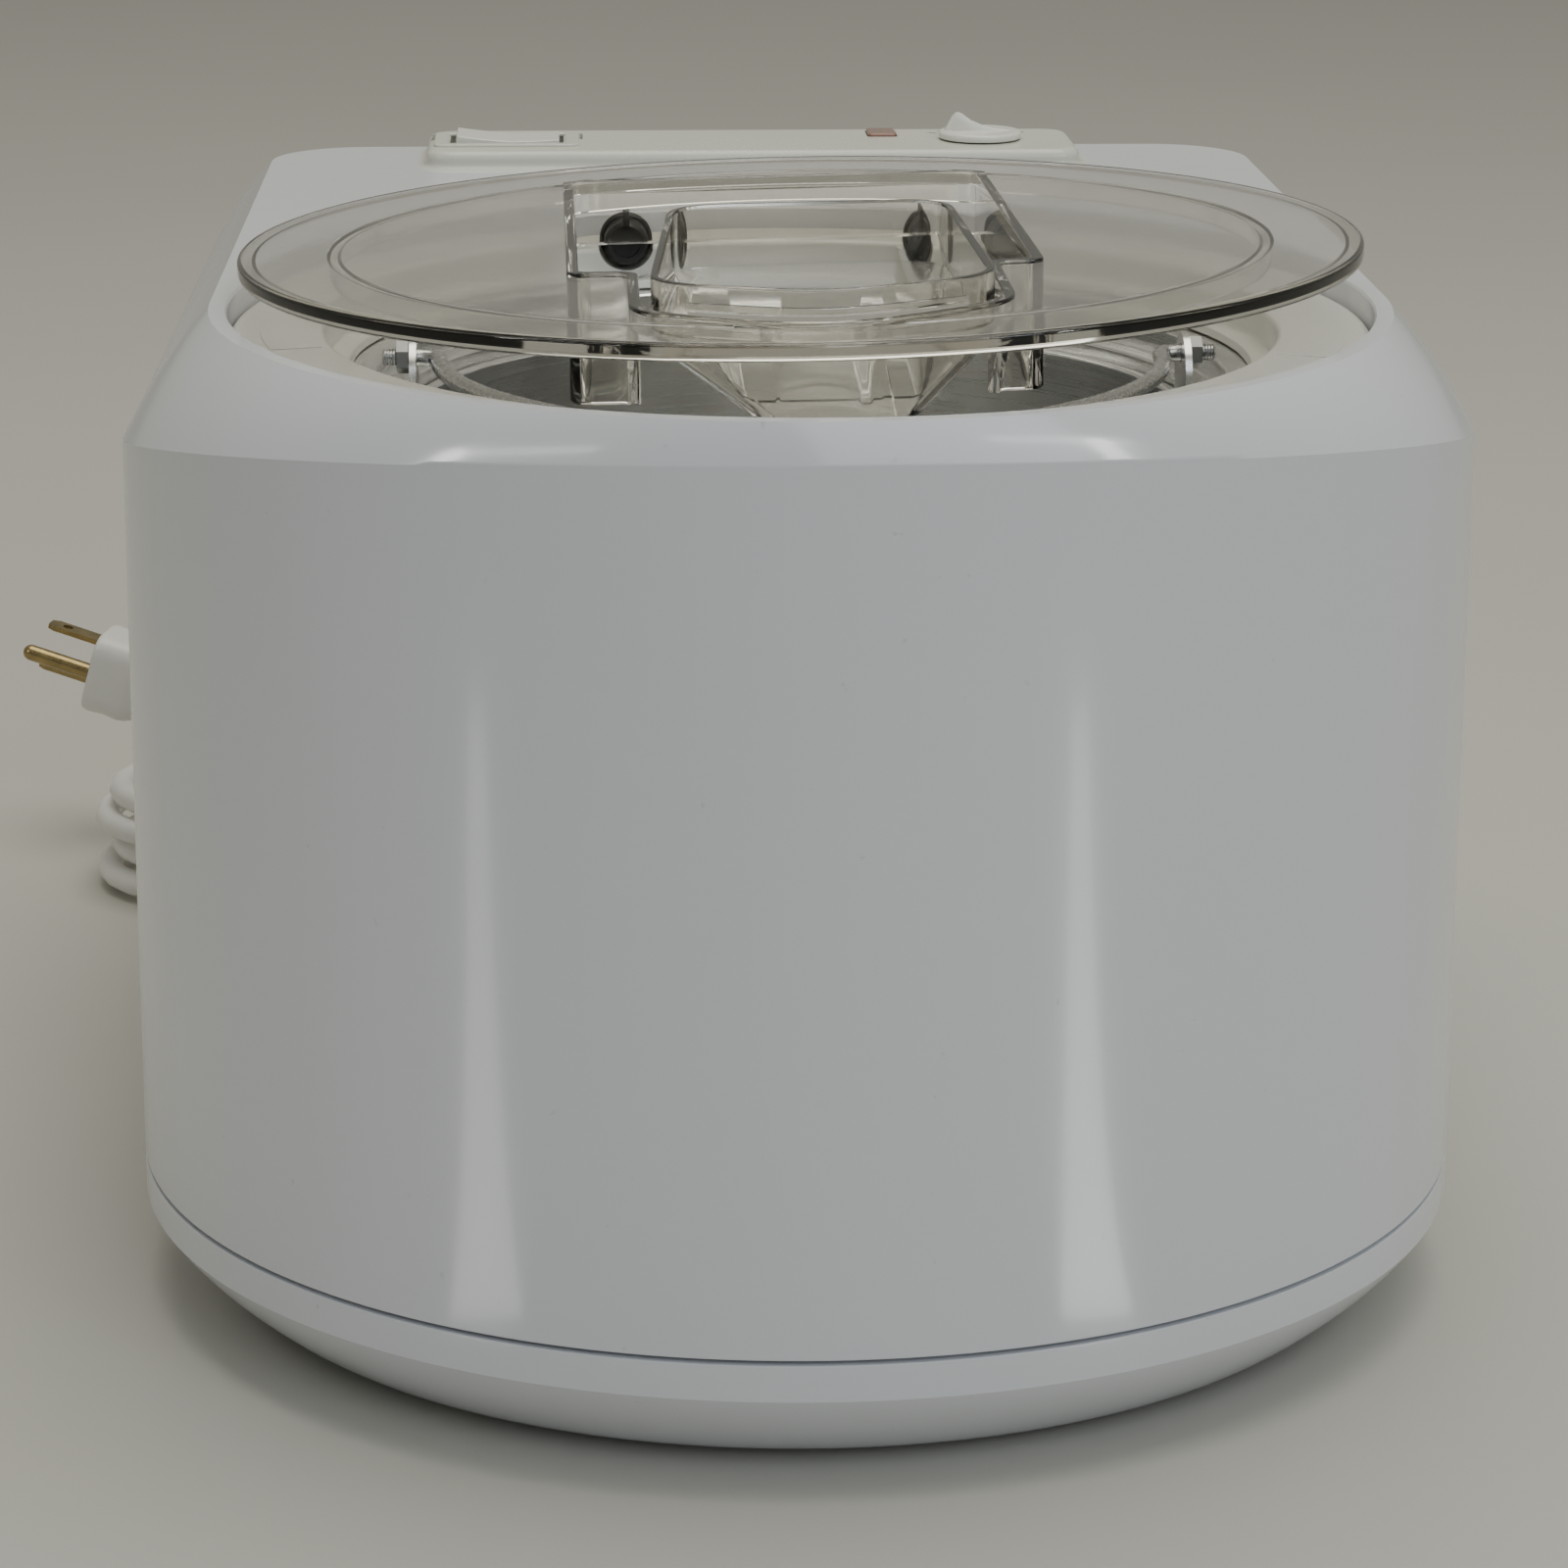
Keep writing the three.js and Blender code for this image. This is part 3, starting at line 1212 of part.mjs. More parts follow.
const fan_rear = shroud_front - wall;
const fan_front = fan_rear - fan_depth;
let fan = rod('y', fan_hub, fan_front, fan_rear, condenser_x, fan_z, 20);
for (let i = 0; i < fan_blade_count; i += 1) {
  const blade = new THREE.BoxGeometry(fan_radius - fan_hub / 2, fan_depth * fan_chord_share, wall / 2);
  blade.translate((fan_radius + fan_hub / 2) / 2, 0, 0);
  const lean = new THREE.Matrix4().makeRotationX(fan_lean);
  const spin = new THREE.Matrix4().makeRotationY((2 * Math.PI * i) / fan_blade_count);
  const place = new THREE.Matrix4().makeTranslation(condenser_x, (fan_front + fan_rear) / 2, fan_z);
  blade.applyMatrix4(place.multiply(spin).multiply(lean));
  fan = fan.add(solid(blade));
}
const fan_shaft = 3;
const fan_motor_rear = fan_front - 2 * wall;
const fan_motor_front = fan_motor_rear - fan_motor_length;
fan = fan.add(rod('y', fan_shaft, fan_motor_rear - 2 * wall, fan_front + overrun, condenser_x, fan_z, 12));
add('fan_blades', fan, finish.black);
add('fan_motor', rod('y', fan_motor_radius, fan_motor_front, fan_motor_rear, condenser_x, fan_z, 24)
  .subtract(rod(
    'y', fan_shaft + clearance, fan_motor_rear - 3 * wall, fan_motor_rear + overrun, condenser_x, fan_z, 12,
  )), finish.steel);
const strap_y = (fan_motor_front + fan_motor_rear) / 2;
const strap_radius = fan_motor_radius + clearance;
const strap_half = 2 * wall;
let fan_bracket = rod('y', strap_radius + wall, strap_y - strap_half, strap_y + strap_half, condenser_x, fan_z, 24)
  .add(block(
    condenser_x - 2 * strap_half, condenser_x + 2 * strap_half, strap_y - strap_half / 2, strap_y
      + strap_half / 2, tray_floor + clearance, fan_z - fan_motor_radius,
  ));
fan_bracket = fan_bracket.subtract(rod(
  'y', strap_radius, strap_y - strap_half - overrun, strap_y + strap_half + overrun, condenser_x, fan_z, 24,
));
add('fan_bracket', fan_bracket, finish.steel);

// Pipes: discharge from the can to the condenser, suction back from the well, and a drier between
const discharge_z = condenser_base + (condenser_height * (2 * tube_count - 1)) / (2 * tube_count);
const can_edge = compressor_x + compressor_radius;
const outlet_share = 0.6;
const outlet_rise_share = 0.7;
add('discharge_pipe', pipe([
  [can_edge + clearance + overrun, compressor_y + 4 * wall, can_base + compressor_height * outlet_share],
  [can_edge + 4 * wall, compressor_y + 12 * wall, can_base + compressor_height * outlet_rise_share],
  [can_edge + 10 * wall, condenser_y - wall, discharge_z],
  [condenser_left - 2 * wall - clearance, condenser_y, discharge_z],
], pipe_radius, 6, 14), finish.copper);
const drier_z = condenser_base + condenser_height / (2 * tube_count);
const drier_right = condenser_left - 2 * wall - clearance;
add('filter_drier', rod('x', drier_radius, drier_right - drier_length, drier_right, condenser_y, drier_z, 16),
  finish.copper);

// Strain relief, lead, hank, tail, tie and plug

const relief_start = rear_y - draft - wall - clearance - bush_flange;
const relief_profile = [
  [0, relief_start], [relief_flange, relief_start], [relief_flange, relief_start + bush_flange],
  [relief_root, relief_start + bush_flange], [relief_root, rear_y],
  [relief_tip, rear_y + relief_length], [0, rear_y + relief_length],
];
const relief_geometry = new THREE.LatheGeometry(relief_profile.map(([r, y]) => new THREE.Vector2(r, y)), 16);
relief_geometry.translate(relief_x, 0, relief_z);
add('strain_relief', solid(relief_geometry), finish.cord);

const cord_radius = cord_diameter / 2;
const hank_y = rear_y + hank_behind;
function behind_body(route) {
  return route.map(([x, behind, z]) => [x, rear_y + behind, z]);
}
add('cord_lead', pipe(behind_body(lead_route), cord_radius, 8, 24), finish.cord);
add('cord_tail', pipe(behind_body(tail_route), cord_radius, 8, 10), finish.cord);

// Centre line of the hank: loops with straight runs and round ends that spiral in and out, a layer each.
const loop_shares = [0.1425, 0.5 - 0.1425, 0.5 + 0.1425, 1 - 0.1425];
function hank_plan(share, radius) {
  const half_run = hank_run / 2;
  const draw = (along) => hank_waist * Math.cos((Math.PI * along) / hank_run) ** 2;
  const [first, second, third, fourth] = loop_shares;
  if (share < first || share >= fourth) {
    const s = share < first ? share : share - 1;
    const along = (half_run * s) / first;
    return [along, radius - draw(along)];
  }
  if (share < second) {
    const angle = Math.PI * ((share - first) / (second - first));
    return [half_run + radius * Math.sin(angle), radius * Math.cos(angle)];
  }
  if (share < third) {
    const along = half_run - (hank_run * (share - second)) / (third - second);
    return [along, -radius + draw(along)];
  }
  const angle = Math.PI * ((share - third) / (fourth - third));
  return [-half_run - radius * Math.sin(angle), -radius * Math.cos(angle)];
}

function hank_point(turns) {
  const layer = Math.min(Math.floor(turns), hank_loops - 1);
  const share = turns - layer;
  const inward = layer % 2 ? 1 - share : share;
  const radius = hank_outer - hank_pitch * inward;
  const nearest = Math.round(turns);
  const climb_reach = loop_shares[0];
  let level = Math.floor(turns);
  const from_climb = turns - nearest;
  if (nearest > 0 && nearest < hank_loops && Math.abs(from_climb) < climb_reach) {
    level = nearest - 0.5 + from_climb / (2 * climb_reach);
  }
  level = Math.min(level, hank_loops - 1);
  const [along, across] = hank_plan(share >= 1 ? 0 : share, radius);
  // The loops start on the back run and head for the left end.
  const cos = Math.cos(hank_turn);
  const sin = Math.sin(hank_turn);
  const middle = hank_run / 2;
  const u = middle - along;
  return [hank_x + u * cos - across * sin, hank_y + u * sin + across * cos, hank_base + hank_pitch * level];
}

const hank_stations = hank_loops * hank_steps;
const hank_line = Array.from({ length: hank_stations + 1 }, (_, i) => {
  const turns = (hank_loops * i) / hank_stations;
  return new THREE.Vector3(...hank_point(turns));
});

// One tube along a line of stations, each section square to the line there.
function swept(line, radius, sides) {
  const up = new THREE.Vector3(0, 0, 1);
  return loft(line.map((point, i) => {
    const ahead = line[Math.min(i + 1, line.length - 1)].clone().sub(line[Math.max(i - 1, 0)]).normalize();
    const side = new THREE.Vector3().crossVectors(ahead, up).normalize();
    const rise = new THREE.Vector3().crossVectors(side, ahead);
    return ring_points(radius, sides).map(([a, b]) => (
      point.clone().addScaledVector(side, a).addScaledVector(rise, b).toArray()
    ));
  }));
}

function least_self_gap(line, radius, skip) {
  let least = Infinity;
  for (let i = 0; i + 1 < line.length; i += 1) {
    for (let k = i + skip; k + 1 < line.length; k += 1) {
      const first = new THREE.Line3(line[i], line[i + 1]);
      for (let n = 0; n <= 4; n += 1) {
        const spot = first.at(n / 4, new THREE.Vector3());
        const other = new THREE.Line3(line[k], line[k + 1]);
        const near = other.closestPointToPoint(spot, true, new THREE.Vector3());
        least = Math.min(least, near.distanceTo(spot) - 2 * radius);
      }
    }
  }
  return least;
}
const hank_gap_skip = 8;
console.log(
  'least gap of the hank to itself, mm:', least_self_gap(hank_line, cord_radius, hank_gap_skip).toFixed(2),
);
add('cord_hank', swept(hank_line, cord_radius, hank_sides), finish.cord);

// The tie is a flat band round the waist of the hank.
const tie_group = new THREE.Group();
const tie_along = hank_run / 2 + tie_shift;
tie_group.position.set(
  hank_x + tie_along * Math.cos(hank_turn), hank_y + tie_along * Math.sin(hank_turn), 0,
);
tie_group.rotation.set(0, 0, hank_turn);
part.add(tie_group);
const tie_half = hank_outer - hank_waist / 2 + cord_radius + 2 * clearance;
const tie_low = tie_thick + clearance / 3;
const tie_high = hank_base + (hank_loops - 1) * hank_pitch + cord_radius + 2 * clearance;
function tie_outline(grow) {
  const corner = cord_radius + grow;
  return plate(-tie_half - grow, tie_half + grow, tie_low - grow, tie_high + grow, corner);
}
const tie_geometry = new THREE.ExtrudeGeometry(
  new THREE.Shape(tie_outline(tie_thick).map(([x, y]) => new THREE.Vector2(x, y))),
  { depth: tie_width, bevelEnabled: false },
);
const tie_hole = new THREE.ExtrudeGeometry(
  new THREE.Shape(tie_outline(0).map(([x, y]) => new THREE.Vector2(x, y))),
  { depth: tie_width + 2 * overrun, bevelEnabled: false },
);
tie_hole.translate(0, 0, -overrun);
[tie_geometry, tie_hole].forEach((geometry) => {
  geometry.translate(0, 0, -tie_width / 2);
  geometry.rotateX(Math.PI / 2);
  geometry.rotateZ(Math.PI / 2);
});
add('cord_tie', solid(tie_geometry).subtract(solid(tie_hole)), finish.black, tie_group);

// Plug: built along +Z from its cord end, then turned to its resting direction
const plug = new THREE.Group();
const plug_axis = new THREE.Vector3(...plug_direction).normalize();
const plug_start = new THREE.Vector3(...behind_body(tail_route).pop())
  .addScaledVector(plug_axis, 2 * clearance);
plug.position.copy(plug_start);
const level_side = new THREE.Vector3(0, 0, 1).cross(plug_axis).normalize();
const plug_up = new THREE.Vector3().crossVectors(plug_axis, level_side);
plug.quaternion.setFromRotationMatrix(
  new THREE.Matrix4().makeBasis(plug_up, level_side.clone().negate(), plug_axis),
);
part.add(plug);
const plug_stations = [
  [0, 0.42, 0.46], [0.12, 0.5, 0.55], [0.4, 0.72, 0.76], [0.62, 1, 1], [0.94, 1, 1], [1, 0.93, 0.93],
];
const plug_body = loft(plug_stations.map(([reach, wide, high]) => {
  const a = plug_half_width * wide;
  const b = plug_half_height * high;
  const corner = b * plug_corner_share;
  return rounded([[-a, -b, corner], [a, -b, corner], [a, b, corner], [-a, b, corner]], 3)
    .map(([x, y]) => [x, y, reach * plug_length]);
}));
add('plug_body', plug_body, finish.cord, plug);
const blade_start = plug_length + clearance;
const blade_y = earth_pin_drop / 2 - overrun;
[['left', -1], ['right', 1]].forEach(([name, side]) => {
  const x = (side * blade_spacing) / 2;
  add(`plug_blade_${name}`, block(
    x - blade_thick / 2, x + blade_thick / 2, blade_y - blade_width / 2, blade_y + blade_width / 2,
    blade_start, blade_start + blade_length,
  ), finish.brass, plug);
});
const pin_y = blade_y - earth_pin_drop;
add('plug_pin', revolve([
  [0, blade_start], [earth_pin_radius, blade_start], [earth_pin_radius, blade_start + earth_pin_length
    - earth_pin_radius], [earth_pin_radius / 2, blade_start + earth_pin_length - overrun / 2],
  [0, blade_start + earth_pin_length],
], 12, 0, pin_y), finish.brass, plug);

export default part;
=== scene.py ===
"""Looks of the counter-top ice cream maker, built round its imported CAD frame, in metres."""

import json
import math

import bmesh
import bpy
from mathutils import Matrix, Vector

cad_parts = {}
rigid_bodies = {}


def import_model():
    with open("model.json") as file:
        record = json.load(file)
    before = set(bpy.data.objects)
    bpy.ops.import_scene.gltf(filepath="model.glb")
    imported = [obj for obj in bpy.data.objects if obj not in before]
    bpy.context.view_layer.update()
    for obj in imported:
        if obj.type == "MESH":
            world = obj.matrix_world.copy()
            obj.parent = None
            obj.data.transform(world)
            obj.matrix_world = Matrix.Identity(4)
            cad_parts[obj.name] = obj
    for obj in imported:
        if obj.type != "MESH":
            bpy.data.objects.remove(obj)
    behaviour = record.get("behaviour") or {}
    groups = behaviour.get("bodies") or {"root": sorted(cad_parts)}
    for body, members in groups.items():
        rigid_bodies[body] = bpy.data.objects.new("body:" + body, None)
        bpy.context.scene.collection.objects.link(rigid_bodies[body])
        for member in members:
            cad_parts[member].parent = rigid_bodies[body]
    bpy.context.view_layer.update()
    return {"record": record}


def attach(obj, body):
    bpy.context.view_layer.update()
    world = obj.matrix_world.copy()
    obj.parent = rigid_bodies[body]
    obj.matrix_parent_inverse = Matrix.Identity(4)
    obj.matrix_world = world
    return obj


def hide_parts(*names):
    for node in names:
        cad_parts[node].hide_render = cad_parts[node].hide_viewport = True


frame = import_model()
scene = bpy.context.scene
MM = 0.001

# Sizes of the solids, in millimetres, as the CAD has them
HALF_WIDTH, FRONT, REAR, BOW, CORNER = 150.0, -200.0, 200.0, 138.0, 36.0
WALL, DRAFT, CLEARANCE = 3.0, 1.5, 0.3
SHELL_BASE, SHOULDER, DECK, LEDGE = 31.5, 193.5, 224.0, 219.2
FRONT_RISE, DECK_HALF, DECK_REAR, DECK_CORNER = 22.0, 128.5, 160.0, 24.0
WELL_Y = -67.0
BOW_STEPS, CORNER_STEPS = 96, 12
KNOB, KNOB_HOLE = (58.0, 140.0), 3.6
SWITCH_HOLE, LAMP_HOLE = (-81.9, -52.1, 130.6, 149.4), (29.45, 35.55, 145.2, 154.8)


# Camera at the photograph's angle

def make_camera():
    data = bpy.data.cameras.new("camera")
    data.sensor_width, data.lens, data.clip_start = 36, 98.82, 0.01
    camera = bpy.data.objects.new("camera", data)
    scene.collection.objects.link(camera)
    pitch, yaw, roll = 0.294, 0.048, 0.003
    ahead = Vector((math.sin(yaw) * math.cos(pitch), math.cos(yaw) * math.cos(pitch), -math.sin(pitch)))
    level = Vector((math.cos(yaw), -math.sin(yaw), 0))
    above = level.cross(ahead)
    right = level * math.cos(roll) + above * math.sin(roll)
    up = above * math.cos(roll) - level * math.sin(roll)
    turn = Matrix((right, up, -ahead)).transposed()
    camera.matrix_world = Matrix.Translation((-0.048, -0.9969, 0.3951)) @ turn.to_4x4()
    scene.camera = camera


make_camera()


# Mesh helpers

def piece(name, mesh, body="machine", material=None, replaces=()):
    obj = bpy.data.objects.new(name, mesh)
    scene.collection.objects.link(obj)
    if material:
        obj.data.materials.clear()
        obj.data.materials.append(material)
    if body:
        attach(obj, body)
    if replaces:
        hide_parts(*replaces)
    if obj.type == "MESH":
        normals = obj.modifiers.new("normals", "WEIGHTED_NORMAL")
        normals.keep_sharp = True
    return obj


def mesh_of(name, verts, faces):
    """A mesh from millimetres, its normals facing out."""
    mesh = bpy.data.meshes.new(name)
    mesh.from_pydata([Vector(v) * MM for v in verts], [], faces)
    work = bmesh.new()
    work.from_mesh(mesh)
    bmesh.ops.remove_doubles(work, verts=work.verts, dist=1e-6)
    bmesh.ops.recalc_face_normals(work, faces=work.faces)
    work.to_mesh(mesh)
    work.free()
    return mesh


def smooth(mesh, angle=32):
    """Smooth shading with a crease wherever faces meet at more than the angle."""
    work = bmesh.new()
    work.from_mesh(mesh)
    limit = math.radians(angle)
    for face in work.faces:
        face.smooth = True
    for edge in work.edges:
        edge.smooth = len(edge.link_faces) == 2 and edge.calc_face_angle(0) < limit
    work.to_mesh(mesh)
    work.free()
    return mesh


def loft_data(rings, closed=False):
    """Faces through rings of equally many points; ends are capped unless the rings close on themselves."""
    count = len(rings[0])
    verts = [p for ring in rings for p in ring]
    faces = []
    spans = len(rings) if closed else len(rings) - 1
    for k in range(spans):
        a, b = k * count, ((k + 1) % len(rings)) * count
        for i in range(count):
            j = (i + 1) % count
            faces.append((a + i, a + j, b + j, b + i))
    if not closed:
        faces.append(tuple(reversed(range(count))))
        faces.append(tuple((len(rings) - 1) * count + i for i in range(count)))
    return verts, faces


def loft(name, rings, closed=False):
    return mesh_of(name, *loft_data(rings, closed))


def revolve(name, profile, segments=96, x=0.0, y=0.0, closed=True):
    """A ring about the vertical through (x, y); a profile that starts and ends on the axis makes a solid."""
    verts, faces = [], []
    rows = []
    for radius, z in profile:
        if radius < 1e-6:
            rows.append([len(verts)])
            verts.append((x, y, z))
            continue
        rows.append(list(range(len(verts), len(verts) + segments)))
        for i in range(segments):
            angle = 2 * math.pi * i / segments
            verts.append((x + radius * math.cos(angle), y + radius * math.sin(angle), z))
    pairs = list(zip(rows, rows[1:] + rows[:1])) if closed else list(zip(rows, rows[1:]))
    for a, b in pairs:
        if len(a) == 1 and len(b) == 1:
            continue
        for i in range(segments):
            j = (i + 1) % segments
            if len(a) == 1:
                faces.append((a[0], b[j], b[i]))
            elif len(b) == 1:
                faces.append((a[i], a[j], b[0]))
            else:
                faces.append((a[i], a[j], b[j], b[i]))
    return mesh_of(name, verts, faces)


def prism(name, outline, z0, z1):
    return loft(name, [[(x, y, z) for x, y in outline] for z in (z0, z1)])


def block(name, x0, x1, y0, y1, z0, z1):
    return prism(name, [(x0, y0), (x1, y0), (x1, y1), (x0, y1)], z0, z1)


def circle(radius, count, x=0.0, y=0.0):
    return [(x + radius * math.cos(2 * math.pi * i / count), y + radius * math.sin(2 * math.pi * i / count))
            for i in range(count)]


def rounded(corners, steps=8):
    """A polygon with rounded corners, each given as (x, y, rounding)."""
    points = []
    for i, (x, y, rounding) in enumerate(corners):
        corner = Vector((x, y))
        ends = []
        for k in (i - 1, (i + 1) % len(corners)):
            arm = Vector(corners[k][:2]) - corner
            ends.append(corner + arm.normalized() * rounding)
        for s in range(steps + 1):
            t = s / steps
            p = ends[0] * (1 - t) ** 2 + corner * 2 * t * (1 - t) + ends[1] * t * t
            points.append((p.x, p.y))
    return points


def transformed(mesh, matrix):
    mesh.transform(matrix)
    return mesh


def joined(name, meshes):
    """One mesh of several disjoint ones."""
    work = bmesh.new()
    for mesh in meshes:
        work.from_mesh(mesh)
    result = bpy.data.meshes.new(name)
    work.to_mesh(result)
    work.free()
    return result


def boolean(base, other, operation="DIFFERENCE"):
    """The mesh of base cut by, or joined to, the other mesh."""
    first = bpy.data.objects.new("first", base)
    second = bpy.data.objects.new("second", other)
    for obj in (first, second):
        scene.collection.objects.link(obj)
    modifier = first.modifiers.new("cut", "BOOLEAN")
    modifier.operation = operation
    modifier.solver = "EXACT"
    modifier.object = second
    shaped = first.evaluated_get(bpy.context.evaluated_depsgraph_get())
    result = bpy.data.meshes.new_from_object(shaped)
    for obj in (first, second):
        bpy.data.objects.remove(obj)
    return result


def rod(name, axis, radius, start, end, u, z, segments=32, edge=0.0):
    """A rod along X or Y with softly turned ends."""
    profile = [(0, start), (radius - edge, start), (radius, start + edge), (radius, end - edge),
               (radius - edge, end), (0, end)]
    if not edge:
        profile = [(0, start), (radius, start), (radius, end), (0, end)]
    mesh = revolve(name, profile, segments, closed=False)
    if axis == "x":
        turn = Matrix(((0, 0, 1, 0), (1, 0, 0, u * MM), (0, 1, 0, z * MM), (0, 0, 0, 1)))
    else:
        turn = Matrix(((0, 1, 0, u * MM), (0, 0, 1, 0), (1, 0, 0, z * MM), (0, 0, 0, 1)))
    return transformed(mesh, turn)


def wire(name, points, radius, material=None, replaces=()):
    """A round wire or cord: one smooth open spline through points in millimetres."""
    curve = bpy.data.curves.new(name, "CURVE")
    curve.dimensions = "3D"
    curve.bevel_depth = radius * MM
    curve.bevel_resolution = 3
    curve.use_fill_caps = True
    spline = curve.splines.new("POLY")
    spline.points.add(len(points) - 1)
    for spot, p in zip(spline.points, points):
        spot.co = (p[0] * MM, p[1] * MM, p[2] * MM, 1)
    spline.use_smooth = True
    return piece(name, curve, "machine", material, replaces)


# Procedural finishes

def wired(tree, kind, settings=(), **links):
    """A shader node with its settings; each link names an input, by name or as i and its number, and its socket."""
    made = tree.nodes.new(kind)
    for key, value in dict(settings).items():
        if key in made.inputs:
            made.inputs[key].default_value = value
        else:
            setattr(made, key, value)
    for key, socket in links.items():
        numbered = key[0] == "i" and key[1:].isdigit()
        tree.links.new(socket, made.inputs[int(key[1:]) if numbered else key])
    return made


def finish(name, color, roughness, metallic=0.0, mottle=0.03, mottle_scale=14, grain_scale=700, grain=0.08,
           depth=0.0001, spread=0.04, stretch=(1, 1, 1), centre=None, coat=0.0, clear=0.0, ior=1.5, soft=0.0,
           dust=0.0):
    """A finish whose colour, roughness and relief vary with the place on the piece."""
    material = bpy.data.materials.new(name)
    material.use_nodes = True
    tree = material.node_tree
    shader = tree.nodes["Principled BSDF"]
    shader.inputs["Metallic"].default_value = metallic
    shader.inputs["IOR"].default_value = ior
    shader.inputs["Coat Weight"].default_value = coat
    shader.inputs["Coat Roughness"].default_value = 0.08
    shader.inputs["Transmission Weight"].default_value = clear
    if soft:
        shader.inputs["Subsurface Weight"].default_value = soft
        shader.inputs["Subsurface Scale"].default_value = 0.003
    place = wired(tree, "ShaderNodeTexCoord").outputs["Object"]
    if centre:
        # Turned or spun metal: the grain runs round the vertical through the centre.
        apart = wired(tree, "ShaderNodeVectorMath", {"operation": "SUBTRACT"}, i0=place)
        apart.inputs[1].default_value = centre
        split = wired(tree, "ShaderNodeSeparateXYZ", i0=apart.outputs[0])
        flat = wired(tree, "ShaderNodeCombineXYZ", X=split.outputs[0], Y=split.outputs[1])
        reach = wired(tree, "ShaderNodeVectorMath", {"operation": "LENGTH"}, i0=flat.outputs[0])
        place_grain = wired(tree, "ShaderNodeCombineXYZ", X=reach.outputs["Value"], Z=split.outputs[2]).outputs[0]
    else:
        place_grain = place
    scaled = wired(tree, "ShaderNodeMapping", {"Scale": stretch}, Vector=place_grain).outputs[0]
    cloud = wired(tree, "ShaderNodeTexNoise", {"Scale": mottle_scale, "Detail": 5.0}, Vector=place).outputs[0]
    fine = wired(tree, "ShaderNodeTexNoise", {"Scale": grain_scale, "Detail": 3.0}, Vector=scaled).outputs[0]
    ramp = wired(tree, "ShaderNodeValToRGB", Fac=cloud)
    ramp.color_ramp.elements[0].position = 0.3
    ramp.color_ramp.elements[1].position = 0.7
    ramp.color_ramp.elements[0].color = (*[c * (1 - mottle) for c in color], 1)
    ramp.color_ramp.elements[1].color = (*[min(1, c * (1 + mottle)) for c in color], 1)
    tint = ramp.outputs[0]
    if dust:
        # Sparse specks and short hairline marks
        speck = wired(tree, "ShaderNodeTexNoise", {"Scale": 260.0, "Detail": 2.0}, Vector=place).outputs[0]
        mask = wired(tree, "ShaderNodeMapRange", {"From Min": 0.74, "From Max": 0.8, "To Max": dust}, Value=speck)
        mixed = wired(tree, "ShaderNodeMix", {"data_type": "RGBA"}, i0=mask.outputs[0], i6=tint)
        mixed.inputs[7].default_value = (*[c * 0.45 for c in color], 1)
        tint = mixed.outputs[2]
    tree.links.new(tint, shader.inputs["Base Color"])
    blend = wired(tree, "ShaderNodeMix", {"data_type": "FLOAT"}, i2=cloud, i3=fine)
    blend.inputs[0].default_value = 0.5
    rough = wired(tree, "ShaderNodeMapRange", {
        "From Min": 0.3, "From Max": 0.7, "To Min": max(0.01, roughness - spread), "To Max": roughness + spread,
    }, Value=blend.outputs[0])
    tree.links.new(rough.outputs[0], shader.inputs["Roughness"])
    bump = wired(tree, "ShaderNodeBump", {"Strength": grain, "Distance": depth}, Height=fine)
    tree.links.new(bump.outputs[0], shader.inputs["Normal"])
    return material


